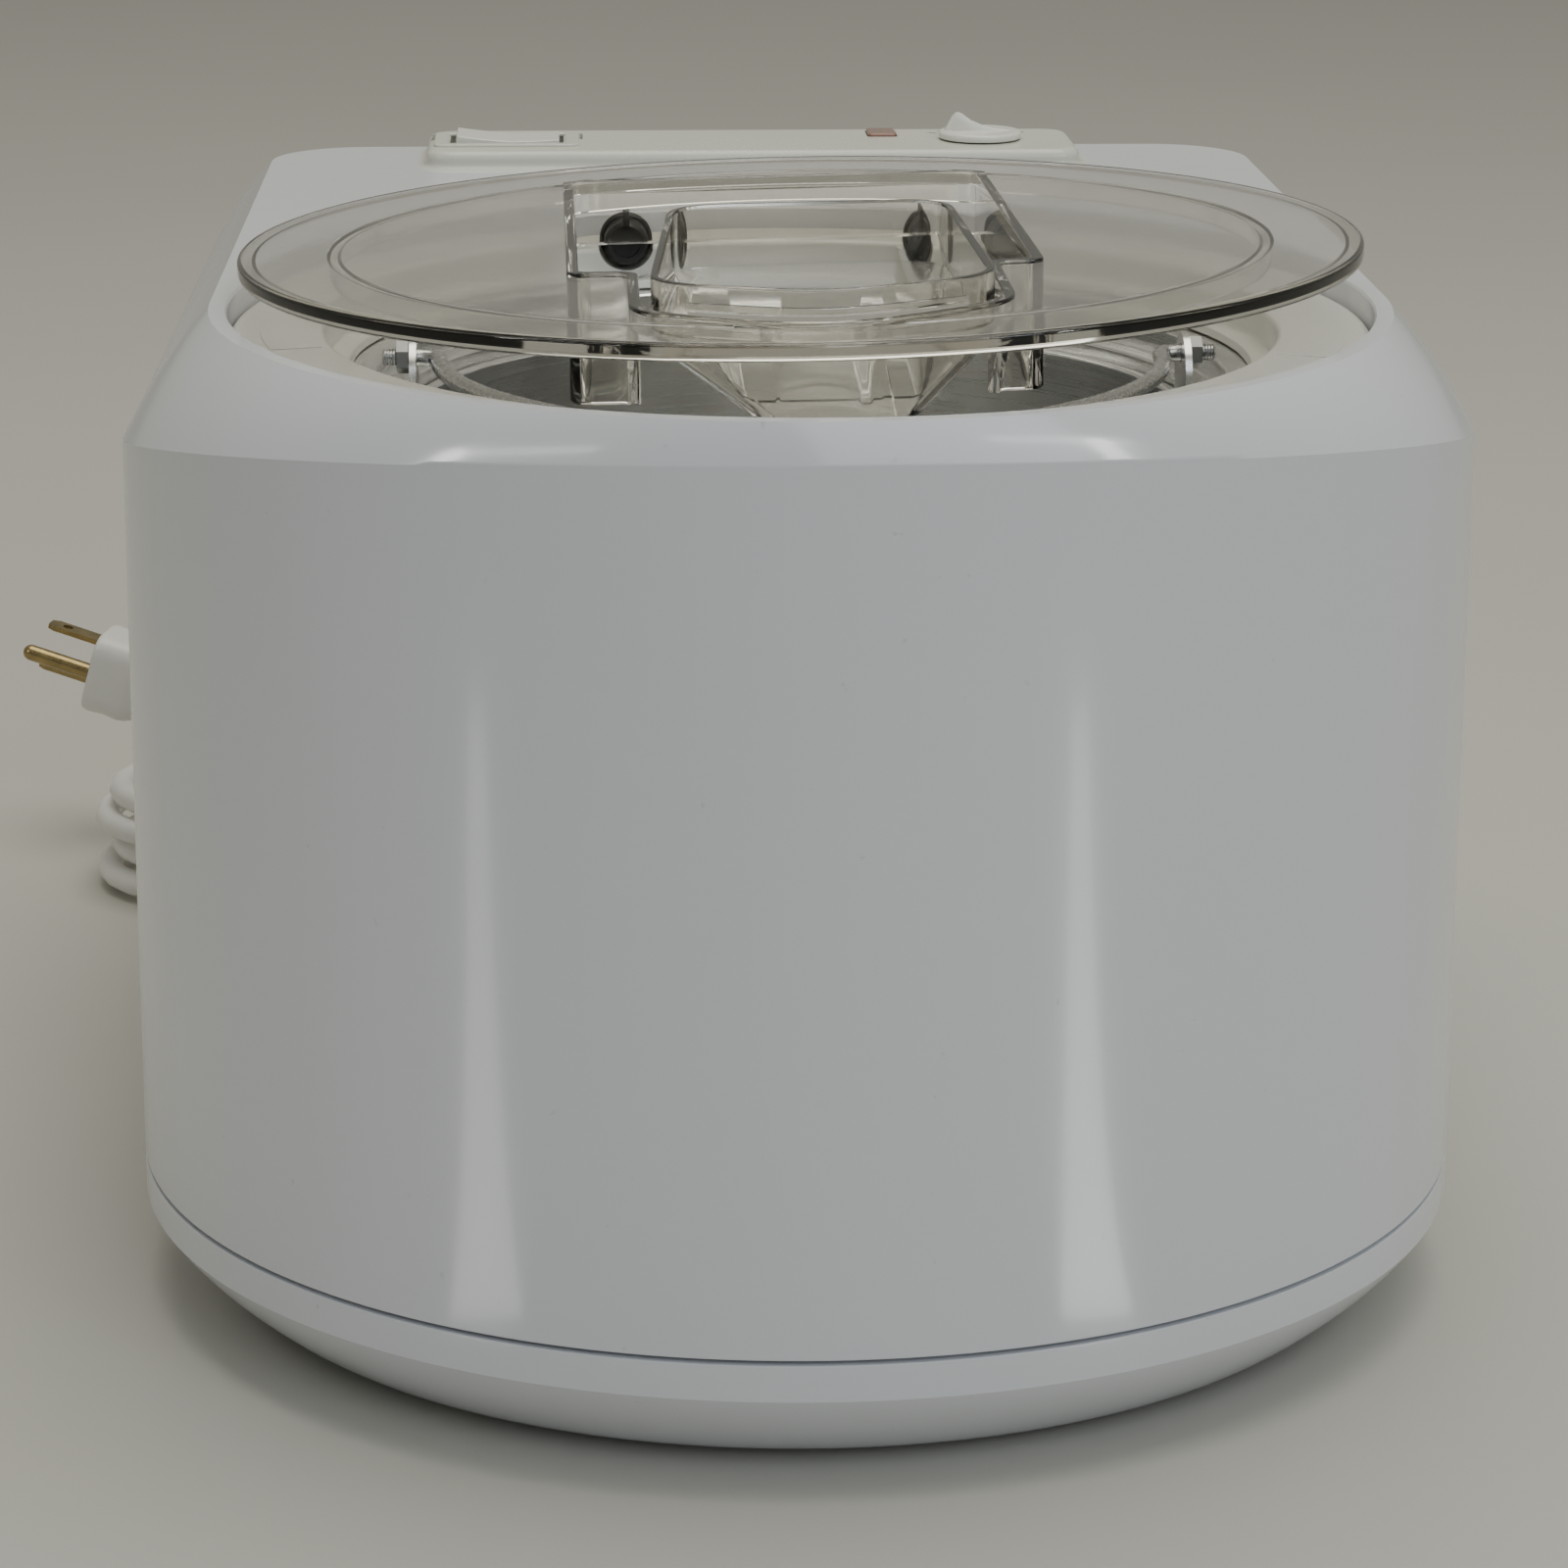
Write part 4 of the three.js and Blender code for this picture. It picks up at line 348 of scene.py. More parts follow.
WELL = (0.0, WELL_Y * MM, 0.0)
mat = {
    "housing_white": finish("housing_white", (0.715, 0.735, 0.785), 0.16, mottle=0.012, mottle_scale=6,
                            grain_scale=170, grain=0.035, depth=0.0003, spread=0.025, coat=0.3, dust=0.25),
    "ivory": finish("ivory", (0.80, 0.795, 0.745), 0.24, mottle=0.02, grain_scale=1200, grain=0.12, coat=0.1,
                    dust=0.15),
    "panel_ivory": finish("panel_ivory", (0.66, 0.665, 0.60), 0.26, mottle=0.02, grain_scale=1200, grain=0.12,
                          coat=0.1, dust=0.15),
    "clear_plastic": finish("clear_plastic", (0.99, 0.97, 0.925), 0.03, mottle=0.008, grain_scale=90, grain=0.02,
                            depth=0.0003, spread=0.015, clear=1.0, ior=1.49),
    # Painted shade: a darker tint for the lid's rolled rim, standing in for the light caught in it
    "rim_painted_shade": finish("rim_painted_shade", (0.66, 0.63, 0.56), 0.06, mottle=0.02, grain_scale=90, grain=0.02,
                          depth=0.0003, spread=0.02, clear=1.0, ior=1.49),
    "bowl_metal": finish("bowl_metal", (0.84, 0.845, 0.84), 0.27, metallic=1.0, mottle=0.05, grain_scale=2600,
                         grain=0.22, depth=0.00005, spread=0.07, centre=WELL, stretch=(1, 1, 0.7)),
    "steel": finish("steel", (0.60, 0.605, 0.61), 0.27, metallic=1.0, mottle=0.06, grain_scale=1500, grain=0.15,
                    depth=0.00005, spread=0.08, stretch=(1, 1, 0.15)),
    "nut_metal": finish("nut_metal", (0.30, 0.305, 0.31), 0.42, metallic=1.0, mottle=0.1, mottle_scale=90,
                        grain_scale=1500, grain=0.15, spread=0.08),
    "fin_metal": finish("fin_metal", (0.66, 0.67, 0.68), 0.4, metallic=1.0, mottle=0.08, grain_scale=900,
                        grain=0.2, stretch=(1, 0.1, 1)),
    "copper": finish("copper", (0.72, 0.38, 0.22), 0.3, metallic=1.0, mottle=0.14, mottle_scale=40, grain=0.15,
                     spread=0.1),
    "brass": finish("brass", (0.34, 0.26, 0.12), 0.3, metallic=1.0, mottle=0.2, mottle_scale=160, grain=0.15,
                    spread=0.1),
    "rubber": finish("rubber", (0.017, 0.018, 0.018), 0.48, mottle=0.3, mottle_scale=120, grain_scale=1500,
                     grain=0.35, spread=0.12),
    "black_plastic": finish("black_plastic", (0.028, 0.028, 0.03), 0.42, mottle=0.15, grain_scale=1600,
                            grain=0.25),
    "dark_paint": finish("dark_paint", (0.022, 0.023, 0.025), 0.3, mottle=0.25, mottle_scale=30, grain_scale=500,
                         grain=0.2, coat=0.3, dust=0.5),
    "foam": finish("foam", (0.74, 0.66, 0.44), 0.85, mottle=0.1, mottle_scale=50, grain_scale=420, grain=0.8,
                   depth=0.0006),
    "amber_lens": finish("amber_lens", (0.27, 0.125, 0.085), 0.2, mottle=0.12, mottle_scale=220, grain_scale=420,
                         grain=0.2, coat=0.3, clear=0.1),
    "print_grey": finish("print_grey", (0.30, 0.295, 0.27), 0.5, mottle=0.15, mottle_scale=300, grain=0.2),
    "paddle_plastic": finish("paddle_plastic", (0.80, 0.80, 0.77), 0.33, mottle=0.02, grain_scale=1100,
                             grain=0.15, soft=0.1),
    "cord_plastic": finish("cord_plastic", (0.78, 0.775, 0.75), 0.32, mottle=0.05, mottle_scale=35,
                           grain_scale=1300, grain=0.2, soft=0.08, dust=0.5),
}


# Mains lead: the route that the solids have, as one smooth cord

CORD_R = 3.6
LEAD = [
    (5, 230.7, 43.5), (5, 242, 43.1), (4.5, 254, 40.6), (2.5, 266, 35.8), (-2, 277.5, 29.3), (-9, 288, 22),
    (-18.5, 296.6, 14.8), (-30, 302.4, 9), (-42.5, 304.9, 5.6), (-55, 304.2, 4.9), (-67.5, 301, 4.9),
    (-79.4, 296.2, 4.9), (-91.2, 288.7, 4.9), (-104.1, 278.7, 4.9), (-113.9, 271.6, 4.9),
]
TAIL = [
    (-124.5, 265.3, 28.6), (-129.3, 262.7, 28.8), (-134.1, 260.2, 29.6), (-138.9, 258.1, 31.3),
    (-143.7, 256.8, 33.7), (-148.3, 256.1, 36.6), (-153.1, 256, 39.3), (-158.1, 256.5, 41.5), (-163.2, 257.6, 43.1),
]
PLUG_DIRECTION = Vector((-0.941, 0.199, 0.276)).normalized()
HANK_LOOPS, HANK_RUN, HANK_OUTER, HANK_PITCH, HANK_WAIST = 4, 108.0, 30.0, 7.9, 5.0
HANK_X, HANK_Y, HANK_TURN, HANK_BASE = -160.0, 218.0, 0.49, 4.9
LOOP_SHARES = (0.1425, 0.3575, 0.6425, 0.8575)


def spline(points, steps=8):
    """Points along a smooth curve through the given ones, spaced by their distances."""
    p = [Vector(q) for q in points]
    p = [p[0] * 2 - p[1]] + p + [p[-1] * 2 - p[-2]]
    line = []
    for i in range(1, len(p) - 2):
        knots = [0.0]
        for k in range(i - 1, i + 2):
            knots.append(knots[-1] + max(1e-9, (p[k + 1] - p[k]).length) ** 0.5)
        for s in range(steps):
            t = knots[1] + (knots[2] - knots[1]) * s / steps
            q = p[i - 1:i + 3]
            for level in (1, 2, 3):
                q = [q[m] * (knots[m + level] - t) / (knots[m + level] - knots[m])
                     + q[m + 1] * (t - knots[m]) / (knots[m + level] - knots[m]) for m in range(len(q) - 1)]
            line.append(q[0])
    return line + [p[-2]]


def hank_plan(share, radius):
    first, second, third, fourth = LOOP_SHARES
    half = HANK_RUN / 2

    def draw(along):
        return HANK_WAIST * math.cos(math.pi * along / HANK_RUN) ** 2
    if share < first or share >= fourth:
        along = half * (share if share < first else share - 1) / first
        return along, radius - draw(along)
    if share < second:
        angle = math.pi * (share - first) / (second - first)
        return half + radius * math.sin(angle), radius * math.cos(angle)
    if share < third:
        along = half - HANK_RUN * (share - second) / (third - second)
        return along, draw(along) - radius
    angle = math.pi * (share - third) / (fourth - third)
    return -half - radius * math.sin(angle), -radius * math.cos(angle)


def hank_point(turns):
    layer = min(int(turns), HANK_LOOPS - 1)
    share = turns - layer
    radius = HANK_OUTER - HANK_PITCH * (1 - share if layer % 2 else share)
    nearest = round(turns)
    level = int(turns)
    if 0 < nearest < HANK_LOOPS and abs(turns - nearest) < LOOP_SHARES[0]:
        level = nearest - 0.5 + (turns - nearest) / (2 * LOOP_SHARES[0])
    level = min(level, HANK_LOOPS - 1)
    along, across = hank_plan(0 if share >= 1 else share, radius)
    u = HANK_RUN / 2 - along
    cos, sin = math.cos(HANK_TURN), math.sin(HANK_TURN)
    height = HANK_BASE + HANK_PITCH * level
    return Vector((HANK_X + u * cos - across * sin, HANK_Y + u * sin + across * cos, height))


HANK_STATIONS = 48
hank_line = [hank_point(i / HANK_STATIONS) for i in range(HANK_LOOPS * HANK_STATIONS + 1)]
route = spline(LEAD) + hank_line + spline(TAIL)[2:]
cord = wire("mains_cord", route, CORD_R, material=mat["cord_plastic"],
            replaces=("cord_lead", "cord_hank", "cord_tail"))


# Plug, on the far end of the lead

PLUG_LENGTH, PLUG_HALF_WIDTH, PLUG_HALF_HEIGHT = 33.0, 12.5, 11.0
side_way = Vector((0, 0, 1)).cross(PLUG_DIRECTION).normalized()
up_way = PLUG_DIRECTION.cross(side_way)
plug_turn = Matrix((up_way, -side_way, PLUG_DIRECTION)).transposed().to_4x4()
plug_place = Matrix.Translation((Vector(TAIL[-1]) + PLUG_DIRECTION * 2 * CLEARANCE) * MM) @ plug_turn


def plug_ring(reach, wide, high):
    a, b = PLUG_HALF_WIDTH * wide, PLUG_HALF_HEIGHT * high
    corner = b * 0.6
    outline = rounded([(-a, -b, corner), (a, -b, corner), (a, b, corner), (-a, b, corner)], 5)
    return [(x, y, reach * PLUG_LENGTH) for x, y in outline]


plug_rings = []
for k in range(6):
    # Moulded ribs of the cord guard
    plug_rings += [plug_ring(0.02 * k + 0.001, 0.42 + 0.014 * k, 0.46 + 0.015 * k),
                   plug_ring(0.02 * k + 0.012, 0.38 + 0.014 * k, 0.42 + 0.015 * k)]
plug_rings += [plug_ring(*r) for r in (
    (0.13, 0.5, 0.55), (0.2, 0.55, 0.6), (0.3, 0.63, 0.68), (0.4, 0.72, 0.76), (0.5, 0.86, 0.88), (0.6, 0.97, 0.98),
    (0.66, 0.995, 0.995), (0.8, 0.97, 0.96), (0.92, 0.99, 0.99), (0.97, 0.98, 0.98), (0.99, 0.955, 0.95),
    (1.0, 0.92, 0.91),
)]
plug_mesh = transformed(smooth(loft("plug_body", plug_rings), 50), plug_place)
plug = piece("plug_moulding", plug_mesh, material=mat["cord_plastic"],
             replaces=("plug_body",))


def blade_mesh(name, x):
    """A flat blade with a chamfered tip and a hole."""
    half, length, thick, y = 3.15, 18.0, 1.5, 4.95
    start = PLUG_LENGTH + CLEARANCE
    outline = [(y - half, start), (y + half, start), (y + half, start + length - 2),
               (y + half - 1.2, start + length), (y - half + 1.2, start + length), (y - half, start + length - 2)]
    body = loft(name, [[(x + dx, a, b) for a, b in outline] for dx in (-thick / 2, thick / 2)])
    eye = [(y + a, start + length - 5.5 + b) for a, b in circle(1.5, 16)]
    hole = loft("hole", [[(x + dx, a, b) for a, b in eye] for dx in (-2, 2)])
    return boolean(body, hole)


for side, x in (("left", -6.35), ("right", 6.35)):
    blade = transformed(smooth(blade_mesh(f"blade_{side}", x)), plug_place)
    piece(f"blade_{side}", blade, material=mat["brass"],
                        replaces=(f"plug_blade_{side}",))
pin_start = PLUG_LENGTH + CLEARANCE
pin_profile = [(0, pin_start), (2.4, pin_start), (2.4, pin_start + 18.6)]
pin_profile += [(2.4 * math.cos(a), pin_start + 18.6 + 2.4 * math.sin(a)) for a in (0.3, 0.6, 0.9, 1.2)]
pin_profile += [(0, pin_start + 21)]
pin_mesh = transformed(smooth(revolve("pin", pin_profile, 24, 0, -6.95, closed=False)), plug_place)
pin = piece("earth_pin", pin_mesh, material=mat["brass"], replaces=("plug_pin",))

# Strain relief: a tapered sleeve with flex rings
relief_profile = [(0, 191.9), (11, 191.9), (11, 195.2), (7.5, 195.2), (7.5, 201)]
for k in range(9):
    y = 202 + 3 * k
    radius = 7.5 - 2.2 * (k + 0.5) / 9.5
    relief_profile += [(radius, y), (radius, y + 1.8), (radius - 0.9, y + 2.0), (radius - 1.0, y + 2.8)]
relief_profile += [(5.2, 229.4), (4.9, 230), (0, 230)]
relief_mesh = revolve("relief", relief_profile, 40, closed=False)
relief_turn = Matrix(((1, 0, 0, 5 * MM), (0, 0, 1, 0), (0, -1, 0, 43.5 * MM), (0, 0, 0, 1)))
relief = piece("lead_sleeve", transformed(smooth(relief_mesh, 40), relief_turn), material=mat["cord_plastic"],
               replaces=("strain_relief",))

# Tie round the waist of the hank: a flat band
TIE_SHIFT = 24
tie_along = HANK_RUN / 2 + TIE_SHIFT
tie_half = HANK_OUTER - HANK_WAIST / 2 + CORD_R + 2 * CLEARANCE
tie_low, tie_high = 0.9, HANK_BASE + 3 * HANK_PITCH + CORD_R + 2 * CLEARANCE


def tie_ring(grow, x):
    c = CORD_R + grow
    a, low, high = tie_half + grow, tie_low - grow, tie_high + grow
    return [(x, u, v) for u, v in rounded([(-a, low, c), (a, low, c), (a, high, c), (-a, high, c)], 6)]


tie_turn = Matrix.Translation((
    (HANK_X + tie_along * math.cos(HANK_TURN)) * MM, (HANK_Y + tie_along * math.sin(HANK_TURN)) * MM, 0,
)) @ Matrix.Rotation(HANK_TURN, 4, "Z")
tie_mesh = loft("tie", [tie_ring(0.8, -4.1), tie_ring(0.8, 4.1), tie_ring(0.65, 4.45), tie_ring(0.05, 4.45),
                        tie_ring(0.05, -4.45), tie_ring(0.65, -4.45)], closed=True)
tie = piece("lead_tie", transformed(smooth(tie_mesh, 40), tie_turn), material=mat["black_plastic"],
            replaces=("cord_tie",))


# Housing, tray and surround

def plan(half, front, bow, rear, corner):
    """Plan of the body: an elliptical front, straight sides and rounded rear corners."""
    points = []
    for i in range(BOW_STEPS + 1):
        angle = math.pi * (1 + i / BOW_STEPS)
        points.append((half * math.cos(angle), front + bow + bow * math.sin(angle)))
    for side, start in ((1, 0), (-1, math.pi / 2)):
        for i in range(CORNER_STEPS + 1):
            angle = start + math.pi / 2 * i / CORNER_STEPS
            points.append((side * (half - corner) + corner * math.cos(angle),
                           rear - corner + corner * math.sin(angle)))
    return points


def body_plan(inset):
    return plan(HALF_WIDTH - inset, FRONT + inset, BOW - inset, REAR - inset, CORNER - inset)


def shoulder_ring(inset, turn):
    low = body_plan(DRAFT + inset)
    high = plan(DECK_HALF - inset, WELL_Y - DECK_HALF + inset, DECK_HALF - inset, DECK_REAR - inset,
                DECK_CORNER - inset)
    ring = []
    for i, ((x, y), (hx, hy)) in enumerate(zip(low, high)):
        z = SHOULDER + FRONT_RISE * (math.sin(math.pi * i / BOW_STEPS) if i <= BOW_STEPS else 0)
        top = DECK - inset
        start = Vector((x, y, z))
        control = Vector((x + (hx - x) * 0.44, y + (hy - y) * 0.44, z + (top - z) * 0.6))
        end = Vector((hx, hy, top))
        ring.append(tuple(start * (1 - turn) ** 2 + control * 2 * turn * (1 - turn) + end * turn ** 2))
    return ring


def shell(name, inset, base, steps):
    foot = [(x, y, base) for x, y in body_plan(inset)]
    return loft(name, [foot] + [shoulder_ring(inset, k / steps) for k in range(steps + 1)])


outer = loft("outer", [
    [(x, y, SHELL_BASE) for x, y in body_plan(0.35)], [(x, y, SHELL_BASE + 0.15) for x, y in body_plan(0.08)],
    [(x, y, SHELL_BASE + 0.5) for x, y in body_plan(0)],
] + [shoulder_ring(0, k / 14) for k in range(15)])
housing = boolean(outer, shell("inner", WALL, SHELL_BASE - 1, 6))
recess_floor = LEDGE - 3 - CLEARANCE
HOLE_R = 118.2
lip = revolve("lip", [(HOLE_R, recess_floor - 3), (127.5, recess_floor - 3), (127.5, 222), (HOLE_R, 222)],
              128, 0, WELL_Y)
housing = boolean(housing, lip, "UNION")
well_hole = revolve("well", [(0, SHOULDER), (HOLE_R, SHOULDER), (HOLE_R, recess_floor - 1), (0, recess_floor - 1)],
                    128, 0, WELL_Y, closed=False)
housing = boolean(housing, well_hole)
recess = revolve("recess", [(0, recess_floor - 1.5), (HOLE_R, recess_floor - 1.5), (HOLE_R, recess_floor),
                            (124.5, recess_floor), (124.5, DECK - 0.5), (124.9, DECK), (125.4, DECK + 1),
                            (0, DECK + 1)], 128, 0, WELL_Y, closed=False)
housing = boolean(housing, recess)
vents = [block("vent", 49 + 8 * i, 53 + 8 * i, 194, 201, 58, 118) for i in range(9)]
for x0, x1 in ((-151, -144), (144, 151)):
    vents += [block("vent", x0, x1, 84 + 8 * i, 88 + 8 * i, 58, 118) for i in range(7)]
vents.append(rod("relief_hole", "y", 7.8, 190, 201, 5, 43.5))
vents += [block("switch_hole", *SWITCH_HOLE, 219, 229.5),
          prism("timer_hole", circle(KNOB_HOLE, 24, *KNOB), 219, 229.5),
          block("lamp_hole", *LAMP_HOLE, 219, 229.5)]
housing = boolean(housing, joined("cuts", vents))
piece("housing", smooth(housing, 24), material=mat["housing_white"],
      replaces=("housing_shell",))


TRAY_TAPER = 19


def tray_rings(inset, levels):
    """Rings of the base from the floor up: it swells from the foot to a straight band."""
    rings = []
    for z, taper, ease in levels:
        rings.append([(x, y, z) for x, y in body_plan(inset + taper * TRAY_TAPER + ease)])
    return rings


swell = [(3 + 19.5 * t, 1 - 1.32 * t + 0.32 * t * t, 0) for t in [k / 10 for k in range(11)]]
outside = tray_rings(0, [(3, 1, 0.6), (3.2, 0.99, 0.15)] + swell[1:]
                     + [(30.1, 0, 0), (30.4, 0, 0.15), (30.5, 0, 0.4)])
inside = tray_rings(WALL, [(z + 3, t, 0) for z, t, _ in swell[::-1]])
tray = loft("tray", outside + [[(x, y, 30.5) for x, y in body_plan(WALL)]] + inside)
holes = [prism("foot_hole", circle(4.3, 20, x, y), 2, 7) for x in (-92, 92) for y in (-120, 160)]
screws = [(-120, -62), (120, -62), (-103, 170), (103, 170)]
holes += [prism("screw_hole", circle(3.8, 20, x, y), 2, 6) for x, y in screws]
tray = boolean(tray, joined("tray_holes", holes))
posts = [prism("boss", circle(7, 16, x, y), 6, 27.5) for x, y in screws]
POST_REACH = 103
offset = POST_REACH / math.sqrt(2)
posts += [prism("post", circle(6, 16, sx * offset, WELL_Y + sy * offset), 6, 84.7)
          for sx in (-1, 1) for sy in (-1, 1)]
tray = joined("tray", [tray] + posts)
piece("base", smooth(tray, 30), material=mat["housing_white"], replaces=("base_tray",))


def arc(cx, cy, radius, start, end, steps=5):
    return [(cx + radius * math.cos(math.radians(start + (end - start) * i / steps)),
             cy + radius * math.sin(math.radians(start + (end - start) * i / steps))) for i in range(steps + 1)]


# Ring with its ledge, its collar and the light step inside it
surround = revolve("surround", [
    (98.3, 209.7), (106.2, 209.7), (106.2, 216.2), (124.2, 216.2)]
    + arc(121.9, 216.9, 2.3, 0, 90, 6) + arc(105.0, 217.9, 1.3, 90, 180) + [(103.7, 212.6)]
    + arc(102.9, 212.5, 0.8, 0, -90, 3) + arc(98.8, 211.2, 0.5, 90, 180, 3) + [(98.0, 210.0)], 144, 0, WELL_Y)
STOP_X, STOP_Z = 37.0, 220.0
STOP_Y = WELL_Y + math.sqrt(103.7 ** 2 - STOP_X ** 2) + 6.35
for x in (-STOP_X, STOP_X):
    cradle = rod("cradle", "y", 8.65, STOP_Y - 7, STOP_Y + 4.3, x, STOP_Z, 40)
    cradle = boolean(cradle, block("half", x - 20, x + 20, 0, 60, 200, 218.4), "INTERSECT")
    surround = boolean(surround, cradle, "UNION")
    surround = boolean(surround, rod("seat", "y", 6.65, STOP_Y - 13, STOP_Y + 2.3, x, STOP_Z, 40))
piece("ring", smooth(surround, 30), material=mat["ivory"], replaces=("well_surround",))


def pad(inner, outer, start, end):
    """A thin pad on the ledge, between two radii and two angles in degrees."""
    angles = [math.radians(start + (end - start) * i / 12) for i in range(13)]
    outline = [(inner * math.cos(a), WELL_Y + inner * math.sin(a)) for a in angles]
    outline += [(outer * math.cos(a), WELL_Y + outer * math.sin(a)) for a in reversed(angles)]
    return prism("pad", outline, 219.0, 219.45)


piece("ledge_pads", smooth(joined("pads", [pad(106.5, 118.5, -23, -13.5), pad(106.5, 117.5, 181.5, 195)]), 30),
      material=mat["ivory"])
mark_plan = rounded([(-24, 70, 1), (-16, 70, 1), (-16, 84, 1), (-24, 84, 1)], 4)
piece("deck_mark", smooth(prism("mark", mark_plan, DECK - 0.1, DECK + 0.2), 30), material=mat["housing_white"])

for side, x in (("left", -STOP_X), ("right", STOP_X)):
    disc = rod("flange", "y", 6.35, STOP_Y, STOP_Y + 2, x, STOP_Z, 40, 0.5)
    button = rod("button", "y", 5.25, STOP_Y - 8, STOP_Y + 1, x, STOP_Z, 40, 0.8)
    rib = block("rib", x - 0.8, x + 0.8, STOP_Y - 8, STOP_Y + 2, STOP_Z + 3, STOP_Z + 7.75)
    face = rod("face", "y", 3.4, STOP_Y - 9, STOP_Y - 7.3, x, STOP_Z, 32)
    stop = boolean(boolean(boolean(disc, button, "UNION"), rib, "UNION"), face)
    piece(f"stop_{side}", smooth(stop, 35), material=mat["rubber"],
          replaces=(f"lid_stop_{side}",))


# Cold well and the bowl that lifts out of it

well = revolve("well", [
    (9, 104), (88.4, 104), (88.4, 202.5), (93.4, 202.5), (93.4, 208.4), (103.4, 208.4), (103.4, 209.4),
    (92.8, 209.4), (92.4, 209.0), (92.4, 203.9), (92.0, 203.5), (87.9, 203.5), (87.4, 203.0), (87.4, 105),
    (10, 105), (10, 167.2), (9, 167.2)], 112, 0, WELL_Y)
piece("cold_well", smooth(well), material=mat["bowl_metal"], replaces=("fixed_bowl",))

bowl = revolve("bowl", [(11.8, 105.3)] + arc(75.2, 114.3, 9, -90, 0, 8)
               + [(84.2, 198.4), (84.6, 198.6), (86.0, 198.7)] + arc(85.9, 199.6, 0.9, -80, 90, 6)
               + [(84.2, 201.0)] + arc(83.9, 200.1, 0.9, 90, 180, 4) + arc(74.0, 115.5, 9, 0, -90, 8)
               + [(13.0, 106.5), (13.0, 171.4)] + arc(12.4, 171.4, 0.6, 0, 180, 5),
               112, 0, WELL_Y)
BAIL_Z, EAR_ROUND = 211.6, 207.0
for side in (-1, 1):
    outline = [(-9, 186), (-6, 183), (6, 183), (9, 186)] + arc(0, EAR_ROUND, 9, 0, 180, 24)
    near, far = sorted((side * 83.9, side * 85.4))
    ear = loft("ear", [[(x, WELL_Y + y, z) for y, z in outline] for x in (near, far)])
    eye = rod("eye", "x", 2.2, near - 1, far + 1, WELL_Y, BAIL_Z, 24)
    bowl = boolean(bowl, boolean(ear, eye), "UNION")
piece("bowl_cup", smooth(bowl), "bowl", mat["bowl_metal"], ("removable_bowl",))


def sweep(name, points, radii, sides=16):
    """A round wire in one level plane, its radius given at each point."""
    rings = []
    for i, point in enumerate(points):
        ahead = (Vector(points[min(i + 1, len(points) - 1)]) - Vector(points[max(i - 1, 0)])).normalized()
        across = ahead.cross(Vector((0, 0, 1)))
        rings.append([tuple(Vector(point) + across * a + Vector((0, 0, b))) for a, b in circle(radii[i], sides)])
    return loft(name, rings)


WIRE_R, BOW_HALF, BOW_REACH, BAIL_STEPS = 1.9, 79.0, 82.5, 72
bow = [(-BOW_HALF - 1.5, WELL_Y - 0.75, BAIL_Z)]
for i in range(BAIL_STEPS + 1):
    angle = math.pi * (1 + i / BAIL_STEPS)
    ease = 3 * max(0, 1 - min(i, BAIL_STEPS - i) / 4)
    bow.append((BOW_HALF * math.cos(angle), WELL_Y + BOW_REACH * math.sin(angle) - ease, BAIL_Z))
bow.append((BOW_HALF + 1.5, WELL_Y - 0.75, BAIL_Z))
threads = [(85.6 + 0.3 * k, WIRE_R - (0.28 if k % 2 else 0)) for k in range(19)] + [(91.3, 1.5), (91.5, 1.2)]
points = [(-x, WELL_Y, BAIL_Z) for x, _ in reversed(threads)] + [(-85, WELL_Y, BAIL_Z)] + bow \
    + [(85, WELL_Y, BAIL_Z)] + [(x, WELL_Y, BAIL_Z) for x, _ in threads]
radii = [r for _, r in reversed(threads)] + [WIRE_R] * (len(bow) + 2) + [r for _, r in threads]
piece("bail", smooth(sweep("bail", points, radii)), "bail", mat["steel"], ("bail_handle",))


# Lid and funnel, a little askew on their stops

lid_place = (Matrix.Translation((0, (WELL_Y + 4.5) * MM, 0.2366)) @ Matrix.Rotation(-0.004, 4, "X")
             @ Matrix.Rotation(-0.0203, 4, "Y"))
# The window: a wide rear part, and a notch in front that the funnel hangs in; the wall's outer face, then its inner
WINDOW_OUT = [(-51, -41, 4), (-38.5, -41.5, 3), (-38.5, -87, 12), (0, -109, 20), (40, -84, 12), (40, -38, 3),
              (50, -37.5, 4), (49.4, 20, 0.5), (49, 50, 0.5), (48.5, 91, 4), (-52, 89, 4), (-51.7, 50, 0.5),
              (-51.4, 20, 0.5)]
WINDOW_IN = [(-48.5, -38.5, 3), (-36, -39, 4.5), (-36, -85.5, 10.5), (0, -106.3, 18), (37.5, -82.5, 10.5),
             (37.5, -35.5, 4.5), (47.5, -35, 3), (46.9, 20, 0.5), (46.5, 50, 0.5), (46, 88.5, 3), (-49.5, 86.5, 3),
             (-49.2, 50, 0.5), (-48.9, 20, 0.5)]
MIDDLE_FOOT, REAR_RISE, NOTCH_FOOT, NOTCH_END, RIM_START = -27, 12.5, -6, -43, 118.2


def window_ring(inward, z):
    """Outline of the window's wall: 0 is its outer face and 1 its inner face."""
    corners = [tuple(a + (b - a) * inward for a, b in zip(o, n)) for o, n in zip(WINDOW_OUT, WINDOW_IN)]
    return [(x, y, z) for x, y in rounded(corners, 10)]


def skirt_ring(inward, above):
    """The same outline along the wall's foot: deep in the middle, less so behind and shallow round the notch."""
    ring = []
    for x, y, _ in window_ring(inward, 0):
        foot = MIDDLE_FOOT + REAR_RISE * min(1, max(0, (y - 20) / 30)) if y > NOTCH_END else NOTCH_FOOT
        ring.append((x, y, foot + above))
    return ring


